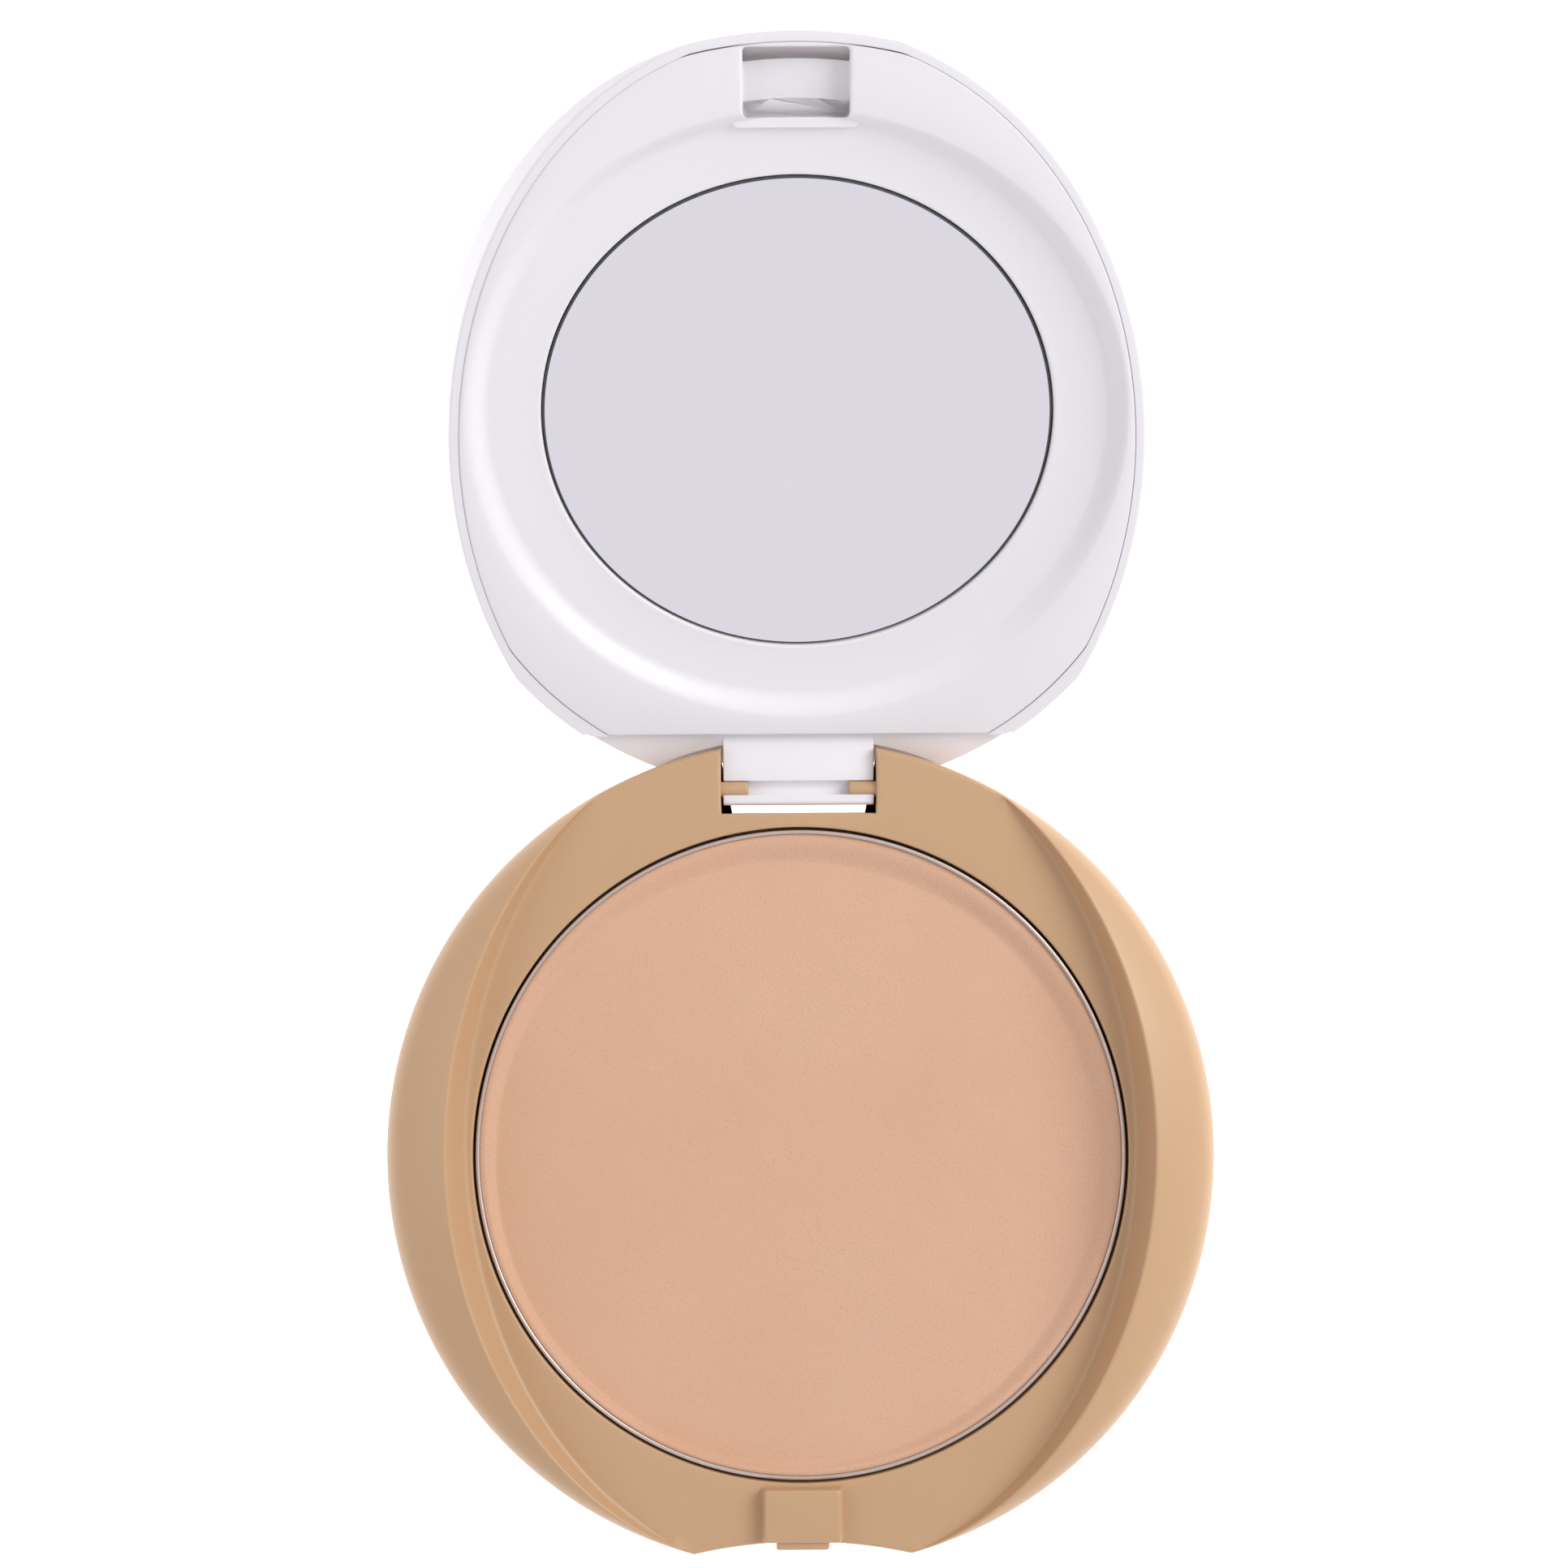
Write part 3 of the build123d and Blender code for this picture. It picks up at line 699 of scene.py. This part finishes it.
def hinge_tongue():
    """The tongue that hooks over the pins, as the lid stands open: its outline is carried along
    x, and drawn in by a quarter circle towards each end. Outline lengths are from the axis."""
    bore = 0.75
    hook = 0.55
    nose = 0.4
    front = 1.45
    face = 0.15
    lip = 0.1
    mouth = math.sqrt(bore ** 2 - hook ** 2)
    around = np.linspace(math.pi - math.asin(hook / bore), 2 * math.pi, 20)
    nose_turn = np.linspace(math.pi, math.pi / 2, 6)
    lip_turn = np.linspace(math.pi, math.pi / 2, 4)
    y = np.concatenate([[-front], nose - front + nose * np.cos(nose_turn), [-mouth - 0.05],
                        bore * np.cos(around), bore + lip + lip * np.cos(lip_turn),
                        [2.0, 3.5, 5.2, 3.6, 1.2]])
    z = np.concatenate([[-3.7], hook - nose + nose * np.sin(nose_turn), [hook],
                        bore * np.sin(around), face - lip + lip * np.sin(lip_turn),
                        [face, face, face, -0.9, -2.25]])
    along = np.stack([np.roll(y, -1) - np.roll(y, 1), np.roll(z, -1) - np.roll(z, 1)])
    along = along / np.maximum(np.linalg.norm(along, axis=0), EVEN)
    bend = np.linspace(0, np.pi / 2, 6)
    reach = 0.16
    inward = reach * (1 - np.cos(bend))
    left = -TONGUE_HALF_WIDTH + reach * (1 - np.sin(bend))
    x = np.concatenate([left[::-1], -left])
    inward = np.concatenate([inward[::-1], inward])[:, None]
    rows = point(x[:, None], HINGE_Y + y + inward * along[1], HINGE_Z + z - inward * along[0])
    return skin("hinge_tongue", rows, fill=True)


def liner_plate():
    """The inner lid, closed: mirror seat, floor, soft slope up to the rim, rim and back. Each
    column is a profile that runs out from the dish's centre. The slope rises as a power of its
    share, and over its last third as a smooth step."""
    turn = lid_columns()
    behind = rear_edge(turn, LINER_EDGE - LINER_FIT)

    def at(radius, height):
        return lid_row(turn, radius, height)

    def outline(height, less=0.0):
        edge = lid_edge(turn, height, SHELL_RIM + LINER_FIT, SHELL_TAIL_RIM + LINER_FIT)
        return np.minimum(edge, behind) - less

    edge = 0.2
    seat = MIRROR_RADIUS + 0.12
    seat_rounding = 0.28
    foot = seat + 0.7
    mouth = np.minimum(DISH_RADIUS + 1.4, outline(LID_RIM, edge + 0.1))
    t = np.linspace(0, 1, 28)[:, None]
    bend = np.clip((t - 0.66) / 0.34, 0, 1)
    rise = 0.34 * t ** 1.4 + 0.66 * bend * bend * (3 - 2 * bend)
    slope = at(foot + t * (mouth - foot), FLOOR - DISH_DEPTH * rise)
    seat_rim = at(seat, FLOOR + seat_rounding)
    floor_start = at(seat + seat_rounding, FLOOR)
    rim_in = at(outline(LID_RIM, edge), LID_RIM)
    rim_out = at(outline(LID_RIM + edge), LID_RIM + edge)
    side = 1.1
    seat_back = MIRROR_SEAT + 0.8
    back = [(np.minimum(outline(LID_RIM + side, 0.3), 29.2), LID_RIM + side + 0.02),
            (np.minimum(outline(LID_RIM + side, 0.8), 28.4), FLOOR + side),
            (23.6, FLOOR + side), (23.4, seat_back), (EVEN, seat_back)]
    rows = [line(at(EVEN, MIRROR_SEAT), at(seat, MIRROR_SEAT), 4),
            line(at(seat, MIRROR_SEAT), seat_rim, 3)[1:],
            curve(seat_rim, at(seat, FLOOR), floor_start, 6)[1:],
            line(floor_start, slope[0], 5)[1:], slope[1:],
            line(slope[-1], rim_in, 3)[1:],
            curve(rim_in, at(outline(LID_RIM), LID_RIM), rim_out, 5)[1:],
            line(rim_out, at(outline(LID_RIM + side), LID_RIM + side), 3)[1:]]
    rows += [at(radius, height)[None] for radius, height in back]
    return skin("liner_plate", np.concatenate(rows))


def carve(piece, cutter, operation="DIFFERENCE"):
    """Takes the cutter's solid out of a piece, or keeps what they share, and removes the
    cutter."""
    cut = piece.modifiers.new("cut", "BOOLEAN")
    cut.operation = operation
    cut.solver = "EXACT"
    cut.object = cutter
    graph = bpy.context.evaluated_depsgraph_get()
    mesh = bpy.data.meshes.new_from_object(piece.evaluated_get(graph))
    piece.modifiers.clear()
    old = piece.data
    piece.data = mesh
    bpy.data.meshes.remove(old)
    bpy.data.objects.remove(cutter)
    smooth(mesh, 32)
    return piece


def pocket_cutter():
    """The catch's room in the closed lid: a rounded block whose mouth flares by a quarter
    circle, so that the edge it leaves is rounded, with the lip's room in front of its lower
    part."""
    rear = CATCH_LENGTH + POCKET_CLEARANCE - CATCH_FRONT
    front = -CATCH_FRONT - POCKET_CLEARANCE
    mouth_front = front - LIP_REACH
    flare = 0.3
    bend = 0.12
    top = DECK + CATCH_HEIGHT + POCKET_CLEARANCE
    lip_top = DECK + LIP_TOP + LIP_CLEARANCE
    turn = np.linspace(0, np.pi / 2, 6)

    def level(grow, low_y, height):
        return (POCKET_HALF_WIDTH + grow, (rear - low_y) / 2 + grow, (low_y + rear) / 2, height)

    levels = [(EVEN, EVEN, (mouth_front + rear) / 2, WIDEST), level(flare, mouth_front, WIDEST)]
    levels += [level(flare * (1 - math.sin(a)), mouth_front, LID_RIM + flare * (1 - math.cos(a)))
               for a in turn]
    levels += [level(0, mouth_front, lip_top), level(0, front, lip_top + 0.02)]
    levels += [level(-bend * (1 - math.cos(a)), front, top - bend * (1 - math.sin(a)))
               for a in turn]
    levels.append((EVEN, EVEN, (front + rear) / 2, top))
    return rounded_block("pocket_room", levels, 0.45)


def pocket_tray():
    """The pocket's floor and walls behind the liner's plate: a block carved by the pocket and
    kept inside the shell."""
    wall = 0.9
    tray = rounded_block("pocket_tray", dome_levels(
        POCKET_HALF_WIDTH + wall, CATCH_LENGTH / 2 + 1.2, CATCH_LENGTH / 2 - CATCH_FRONT,
        LID_RIM + 0.7, DECK + CATCH_HEIGHT + 1.2, 0.2), 0.6)
    heights = np.linspace(LID_RIM, DECK + CATCH_HEIGHT + 2.0, 12)
    radii = np.concatenate([[EVEN], outline_radius(heights, wall), [EVEN]])
    room = revolved("shell_room", radii, np.concatenate([heights[:1], heights, heights[-1:]]))
    return carve(carve(tray, room, "INTERSECT"), pocket_cutter())


def shell_moulding(rounding):
    """The finished shell, closed: the dome less the lugs' room and the catch's room."""
    dome = lid_dome(rounding)
    for side in (1, -1):
        carve(dome, beside_tongue(side))
        carve(dome, lug_room(side))
    return carve(dome, pocket_cutter())


def glass_disc():
    """The mirror, closed: a disc with a narrow ground slope round its face."""
    corners = [(EVEN, MIRROR_FACE), (MIRROR_RADIUS - GROUND_EDGE, MIRROR_FACE),
               (MIRROR_RADIUS, MIRROR_FACE + GROUND_EDGE), (MIRROR_RADIUS, MIRROR_BACK),
               (EVEN, MIRROR_BACK)]
    radii, heights = zip(*corners)
    return revolved("mirror_disc", radii, heights, 360, (0, DISH_OFFSET), sharp=20)


def ground_faces(glass):
    """Marks the faces of the opened mirror that turn away from its front and back, so that they
    take its second material."""
    normal = np.empty(len(glass.data.polygons) * 3)
    glass.data.polygons.foreach_get("normal", normal)
    facing = normal.reshape(-1, 3) @ [0, -math.sin(OPEN_ANGLE), -math.cos(OPEN_ANGLE)]
    glass.data.polygons.foreach_set("material_index", (np.abs(facing) < 0.9).astype(int))


def pan_cup():
    """The pan: a thin pressed cup whose rim is rolled over a small half circle."""
    low, high, edge = PAN_LOW.z, PAN_HIGH.z, PAN_HIGH.x
    wall = 0.36
    corners = [(EVEN, low), (edge, low), (edge, high), (edge - wall, high),
               (edge - wall, low + wall), (EVEN, low + wall)]
    radii, heights = rounded_profile(corners, (0.7, 0.17, 0.17, 0.4))
    return revolved("pan_cup", radii, heights, 400)


# ==== Shader tools ====

class Link:
    """A number on its way through a material; arithmetic on it adds Math nodes."""

    def __init__(self, shade, socket):
        self.shade = shade
        self.socket = socket

    def math(self, operation, first, second):
        return self.shade.node("ShaderNodeMath", {"operation": operation}, {0: first, 1: second})

    def __add__(self, other):
        return self.math("ADD", self, other)

    __radd__ = __add__

    def __mul__(self, other):
        return self.math("MULTIPLY", self, other)

    __rmul__ = __mul__

    def __sub__(self, other):
        return self.math("SUBTRACT", self, other)

    def __rsub__(self, other):
        return self.math("SUBTRACT", other, self)


class Shade:
    """A material being built on its Principled shader."""

    def __init__(self, name, **values):
        self.material = bpy.data.materials.new(name)
        self.material.use_nodes = True
        self.tree = self.material.node_tree
        self.shader = self.tree.nodes["Principled BSDF"]
        self.feed(**values)

    def node(self, kind, settings=None, sockets=None, output=0):
        """Adds a node: its settings come first, then its sockets' values or links."""
        node = self.tree.nodes.new(kind)
        for key, value in (settings or {}).items():
            if key == "stops":
                self.fill(node.color_ramp, value)
            else:
                setattr(node, key, value)
        for key, value in (sockets or {}).items():
            self.join(node.inputs[key], value)
        return Link(self, node.outputs[output])

    def join(self, socket, value):
        if isinstance(value, Link):
            self.tree.links.new(value.socket, socket)
        else:
            socket.default_value = value

    def fill(self, ramp, stops):
        while len(ramp.elements) < len(stops):
            ramp.elements.new(0.5)
        for element, (place, shade) in zip(ramp.elements, stops):
            element.position = place
            element.color = (shade, shade, shade, 1)

    def feed(self, **values):
        """Feeds the shader's sockets, named with underscores for spaces."""
        for key, value in values.items():
            self.join(self.shader.inputs[key.replace("_", " ")], value)

    def place(self):
        return self.node("ShaderNodeTexCoord", output="Object")

    def noise(self, place, scale, detail=3.0, roughness=0.5):
        return self.node("ShaderNodeTexNoise", None,
                         {"Vector": place, "Scale": scale, "Detail": detail,
                          "Roughness": roughness})

    def ramp(self, factor, *stops):
        return self.node("ShaderNodeValToRGB", {"stops": stops}, {"Fac": factor})

    def blend(self, factor, first, second):
        """A colour between two, by a factor that varies."""
        return self.node("ShaderNodeMix", {"data_type": "RGBA"},
                         {0: factor, 6: first, 7: second}, output=2)

    def bump(self, height, distance):
        return self.node("ShaderNodeBump", None,
                         {"Height": height, "Distance": distance, "Strength": 1.0})


def linear(colour):
    """A display colour in three parts of 255 as the shader's linear colour."""
    parts = [part / 255 for part in colour]
    return tuple(part / 12.92 if part <= 0.04045 else ((part + 0.055) / 1.055) ** 2.4
                 for part in parts) + (1.0,)


def dyed(colour, factors=(1.0, 1.0, 1.0)):
    """A setting's colour with each part scaled, for a colour socket."""
    return tuple(part * factor for part, factor in zip(colour, factors)) + (1.0,)


# ==== Settings ====

def colour_setting(name, description, parts):
    """A colour setting whose default is a display colour."""
    return bpy.props.FloatVectorProperty(name=name, description=description, subtype="COLOR",
                                         default=linear(parts)[:3])


def length_setting(name, description, size):
    """A length setting whose default is in millimetres."""
    return bpy.props.FloatProperty(name=name, description=description, default=size * MM,
                                   unit="LENGTH", precision=6)


def power_setting(name, description, power):
    """A light's power."""
    return bpy.props.FloatProperty(name=name, description=description, default=power,
                                   unit="POWER")


class CompactBase(bpy.types.PropertyGroup):
    rounding: length_setting(
        "Edge rounding", "Rounding of the wings' ridges and the deck's edge", 0.35)
    fillet: length_setting(
        "Foot fillet", "Hollow rounding where the wings' walls meet the deck", 0.45)
    colour: colour_setting("Plastic", "Colour of the base's plastic", (202, 166, 128))
    grain: length_setting("Grain", "Depth of the moulding's fine grain", 0.006)


class CompactLid(bpy.types.PropertyGroup):
    rounding: length_setting("Edge rounding", "Rounding of the lid's ridge and rim", 0.32)
    colour: colour_setting("Plastic", "Colour of the lid's plastic", (240, 238, 240))
    mirror_tint: colour_setting("Mirror", "Tint of the mirror's silvering", (236, 234, 240))


class CompactPowder(bpy.types.PropertyGroup):
    colour: colour_setting("Powder", "Colour of the pressed powder", (220, 178, 149))
    hollow: length_setting(
        "Hollow", "Depth of the used middle below the powder's edge", 0.85)
    grain: length_setting("Grain", "Depth of the powder's grain", 0.02)
    rim: colour_setting("Pan", "Colour of the aluminium pan", (226, 212, 204))


class CompactStage(bpy.types.PropertyGroup):
    floor: colour_setting("Floor", "Colour of the floor", (250, 250, 250))
    key_power: power_setting("Key light", "Power of the soft light at the right", 2.35)
    top_power: power_setting("Overhead light", "Power of the soft light overhead", 0.15)
    left_power: power_setting("Left light", "Power of the soft light at the left", 0.5)
    front_power: power_setting(
        "Front light", "Power of the light that the mirror reflects", 0.44)


# ==== Materials ====

def moulded_plastic(name, colour, grain, roughness, warm):
    """Satin moulded plastic: a very fine grain, faint flow clouds in colour and gloss."""
    shade = Shade(name, Specular_IOR_Level=0.45, Subsurface_Weight=0.12,
                  Subsurface_Radius=(1.0, 0.6, 0.45), Subsurface_Scale=0.0012)
    place = shade.place()
    clouds = shade.noise(place, 55.0)
    fine = shade.noise(place, 5200.0, 2.0)
    shade.feed(Base_Color=shade.blend(clouds, dyed(colour), dyed(colour, warm)),
               Roughness=roughness + 0.10 * fine + 0.05 * clouds,
               Normal=shade.bump(fine + 0.6 * shade.noise(place, 1700.0, 2.0), grain))
    return shade.material


def base_plastic(settings):
    return moulded_plastic("base_plastic_beige", settings.colour, settings.grain, 0.30,
                           (0.97, 0.945, 0.92))


def lid_plastic(settings):
    return moulded_plastic("lid_plastic_white", settings.colour, 0.004 * MM, 0.26,
                           (0.975, 0.97, 0.98))


def powder_cake(settings):
    """Pressed powder: chalky, with soft blotches, fine grain and small darker specks."""
    shade = Shade("pressed_powder_cake", Specular_IOR_Level=0.12, Sheen_Weight=0.25,
                  Sheen_Roughness=0.6)
    place = shade.place()
    blotches = shade.ramp(shade.noise(place, 62.0, 4.0, 0.5), (0.30, 0.0), (0.66, 1.0))
    grain = shade.noise(place, 2600.0, 4.0, 0.7)
    specks = shade.ramp(shade.noise(place, 5200.0, 2.0, 0.6), (0.30, 0.0), (0.5, 1.0))
    colour = settings.colour
    body = shade.blend(blotches, dyed(colour, (0.972, 0.945, 0.90)), dyed(colour))
    dark = dyed(colour, (0.84, 0.78, 0.72))
    shade.feed(Base_Color=shade.blend(0.55 * (1 - specks), body, dark),
               Roughness=0.82 + 0.15 * grain,
               Normal=shade.bump(grain + 0.8 * blotches, settings.grain))
    return shade.material


def pan_metal(settings):
    """Pressed aluminium with fine drawing marks and uneven gloss."""
    shade = Shade("pan_aluminium", Metallic=0.9)
    place = shade.place()
    marks = shade.noise(place, 900.0)
    colour = settings.rim
    shade.feed(Base_Color=shade.blend(marks, dyed(colour), dyed(colour, (0.78, 0.78, 0.78))),
               Roughness=0.30 + 0.22 * marks,
               Normal=shade.bump(shade.noise(place, 2400.0), 0.004 * MM))
    return shade.material


def mirror_silver(settings):
    """Silvered glass: a clean mirror with a whisper of haze."""
    shade = Shade("mirror_silver", Metallic=1.0, Coat_Weight=0.4, Coat_Roughness=0.02)
    haze = shade.noise(shade.place(), 40.0, 4.0)
    tint = settings.mirror_tint
    shade.feed(Base_Color=shade.blend(haze, dyed(tint), dyed(tint, (0.975, 0.975, 0.975))),
               Roughness=0.012 + 0.02 * haze)
    return shade.material


def grained(name, pale, deep, noise, roughness, spread, depth, **values):
    """A finish whose colour, gloss and relief all follow one noise, given by its scale, detail
    and roughness; depth is the relief's, in millimetres."""
    shade = Shade(name, **values)
    grain = shade.noise(shade.place(), *noise)
    shade.feed(Base_Color=shade.blend(grain, linear(pale), linear(deep)),
               Roughness=roughness + spread * grain, Normal=shade.bump(grain, depth * MM))
    return shade.material


def ground_glass():
    """The mirror's ground edge: grey-green, matt and finely pitted."""
    return grained("mirror_ground_edge", (96, 98, 100), (58, 60, 64), (2500.0, 3.0),
                   0.35, 0.25, 0.01, Specular_IOR_Level=0.6)


def label_paper():
    """Plain label paper with a faint fibre."""
    return grained("label_paper", (244, 242, 238), (228, 225, 219), (1400.0, 5.0, 0.65),
                   0.62, 0.2, 0.008, Specular_IOR_Level=0.3)


def glue_dots():
    """Amber glue with a wavy skin."""
    return grained("glue_amber", (226, 205, 160), (205, 176, 120), (500.0, 2.0),
                   0.2, 0.2, 0.02, Coat_Weight=0.5)


def tape_foam():
    """Thin double-sided tape with a fine open grain."""
    return grained("tape_foam", (232, 232, 228), (206, 206, 202), (3000.0, 3.0),
                   0.75, 0.2, 0.02, Specular_IOR_Level=0.3)


def floor_paint(settings):
    """Matt pale floor with a breath of unevenness."""
    shade = Shade("floor_pale", Specular_IOR_Level=0.1, Emission_Strength=0.8)
    cloud = shade.noise(shade.place(), 3.0, 2.0)
    colour = settings.floor
    body = shade.blend(cloud, dyed(colour), dyed(colour, (0.985, 0.985, 0.985)))
    shade.feed(Base_Color=body, Emission_Color=body, Roughness=0.9 + 0.05 * cloud)
    return shade.material


# ==== Pieces ====

class COMPACT_OT_base(bpy.types.Operator):
    """Builds the base's two halves, the catch and the hinge pins"""
    bl_idname = "compact.base"
    bl_label = "Base"

    def execute(self, context):
        settings = context.scene.compact_base
        plastic = ("base", "base_plastic", base_plastic(settings))
        moulding = base_moulding(settings.rounding / MM, settings.fillet / MM)
        settle(moulding, *plastic, "base_top")
        settle(base_bowl(), *plastic, "base_bottom")
        block = rounded_block("catch_block", dome_levels(
            CATCH_HALF_WIDTH, CATCH_LENGTH / 2, CATCH_LENGTH / 2 - CATCH_FRONT,
            DECK - CATCH_ROOT, DECK + CATCH_HEIGHT, 0.28, CATCH_DRAFT), 0.3)
        settle(block, *plastic)
        lip = rounded_block("catch_lip", dome_levels(
            LIP_HALF_WIDTH, LIP_HALF_LENGTH, LIP_HALF_LENGTH - CATCH_FRONT - LIP_REACH,
            DECK + LIP_BOTTOM, DECK + LIP_TOP, 0.24, both=True), 0.25)
        settle(lip, *plastic)
        for name, side in (("hinge_pin_right", 1), ("hinge_pin_left", -1)):
            settle(hinge_pin(name, side), *plastic)
        dress("base_label", label_paper())
        return {"FINISHED"}


class COMPACT_OT_powder(bpy.types.Operator):
    """Builds the pan and the powder pressed into it"""
    bl_idname = "compact.powder"
    bl_label = "Pan and powder"

    def execute(self, context):
        settings = context.scene.compact_powder
        settle(pan_cup(), "base", "pan", pan_metal(settings), "powder_pan")
        settle(powder_surface(settings.hollow / MM), "base", "powder", powder_cake(settings),
               "pressed_powder")
        dress("pan_glue", glue_dots())
        return {"FINISHED"}


class COMPACT_OT_lid(bpy.types.Operator):
    """Builds the lid's shell and liner"""
    bl_idname = "compact.lid"
    bl_label = "Lid"

    def execute(self, context):
        settings = context.scene.compact_lid
        plastic = ("lid", "lid_plastic", lid_plastic(settings))
        settle(opened(shell_moulding(settings.rounding / MM)), *plastic, "lid_shell")
        settle(hinge_tongue(), *plastic)
        settle(opened(carve(liner_plate(), pocket_cutter())), *plastic, "lid_liner")
        settle(opened(pocket_tray()), *plastic)
        return {"FINISHED"}


class COMPACT_OT_mirror(bpy.types.Operator):
    """Builds the mirror and its tape"""
    bl_idname = "compact.mirror"
    bl_label = "Mirror"

    def execute(self, context):
        glass = opened(glass_disc())
        settle(glass, "lid", "mirror", mirror_silver(context.scene.compact_lid), "mirror_glass")
        glass.data.materials.append(ground_glass())
        ground_faces(glass)
        dress("mirror_tape", tape_foam())
        return {"FINISHED"}


def soft_light(name, place, aim, size, power, colour=(1, 1, 1)):
    """A square area light at place, turned to face aim."""
    light = bpy.data.lights.new(name, "AREA")
    light.shape = "SQUARE"
    light.size = size
    light.energy = power
    light.color = colour
    lamp = bpy.data.objects.new(name, light)
    bpy.context.scene.collection.objects.link(lamp)
    lamp.location = place
    lamp.rotation_euler = (Vector(aim) - Vector(place)).to_track_quat("-Z", "Y").to_euler()


class COMPACT_OT_stage(bpy.types.Operator):
    """Builds the floor, the lights and the camera"""
    bl_idname = "compact.stage"
    bl_label = "Stage"

    def execute(self, context):
        settings = context.scene.compact_stage
        scene = context.scene
        floor = revolved("floor", [EVEN, 0.4 / MM, 3.0 / MM], [-FLOOR_DROP] * 3, steps=64)
        floor.data.materials.append(floor_paint(settings))
        soft_light("key_light", (0.42, 0.22, 0.40), MIDDLE, 0.35, settings.key_power)
        soft_light("overhead_light", (-0.05, 0.10, 0.75), MIDDLE, 0.6, settings.top_power)
        soft_light("left_light", (-0.45, 0.05, 0.34), MIDDLE, 0.35, settings.left_power)
        soft_light("front_light", (0, -0.56, 0.40), (0, 0.07, 0.02), 0.62,
                   settings.front_power, (0.985, 0.97, 1.0))
        world = bpy.data.worlds.new("studio")
        scene.world = world
        world.use_nodes = True
        background = world.node_tree.nodes["Background"]
        background.inputs["Color"].default_value = linear((232, 230, 236))
        background.inputs["Strength"].default_value = 0.62
        camera = bpy.data.objects.new("camera", bpy.data.cameras.new("camera"))
        scene.collection.objects.link(camera)
        camera.location = CAMERA_PLACE
        camera.rotation_euler = (0, 0, CAMERA_TURN)
        camera.data.lens = CAMERA_LENS
        camera.data.sensor_width = 36.0
        camera.data.clip_start = 0.01
        scene.camera = camera
        scene.view_settings.view_transform = "Standard"
        return {"FINISHED"}


class COMPACT_PT_sidebar(bpy.types.Panel):
    bl_idname = "COMPACT_PT_sidebar"
    bl_label = "Powder Compact"
    bl_space_type = "VIEW_3D"
    bl_region_type = "UI"
    bl_category = "Compact"

    def draw(self, context):
        for operator, group in STEPS:
            box = self.layout.box()
            if group:
                settings = getattr(context.scene, group)
                for key in settings.__annotations__:
                    box.prop(settings, key)
            box.operator(operator.bl_idname)


STEPS = (
    (COMPACT_OT_base, "compact_base"),
    (COMPACT_OT_powder, "compact_powder"),
    (COMPACT_OT_lid, "compact_lid"),
    (COMPACT_OT_mirror, None),
    (COMPACT_OT_stage, "compact_stage"),
)
GROUPS = {
    "compact_base": CompactBase,
    "compact_lid": CompactLid,
    "compact_powder": CompactPowder,
    "compact_stage": CompactStage,
}


def register():
    for group in GROUPS.values():
        bpy.utils.register_class(group)
    for operator, _ in STEPS:
        bpy.utils.register_class(operator)
    bpy.utils.register_class(COMPACT_PT_sidebar)
    for key, group in GROUPS.items():
        setattr(bpy.types.Scene, key, bpy.props.PointerProperty(type=group))


def unregister():
    for key in GROUPS:
        delattr(bpy.types.Scene, key)
    bpy.utils.unregister_class(COMPACT_PT_sidebar)
    for operator, _ in reversed(STEPS):
        bpy.utils.unregister_class(operator)
    for group in reversed(GROUPS.values()):
        bpy.utils.unregister_class(group)


def main():
    register()
    for operator, _ in STEPS:
        space, name = operator.bl_idname.split(".")
        getattr(getattr(bpy.ops, space), name)()


if __name__ == "__main__":
    main()
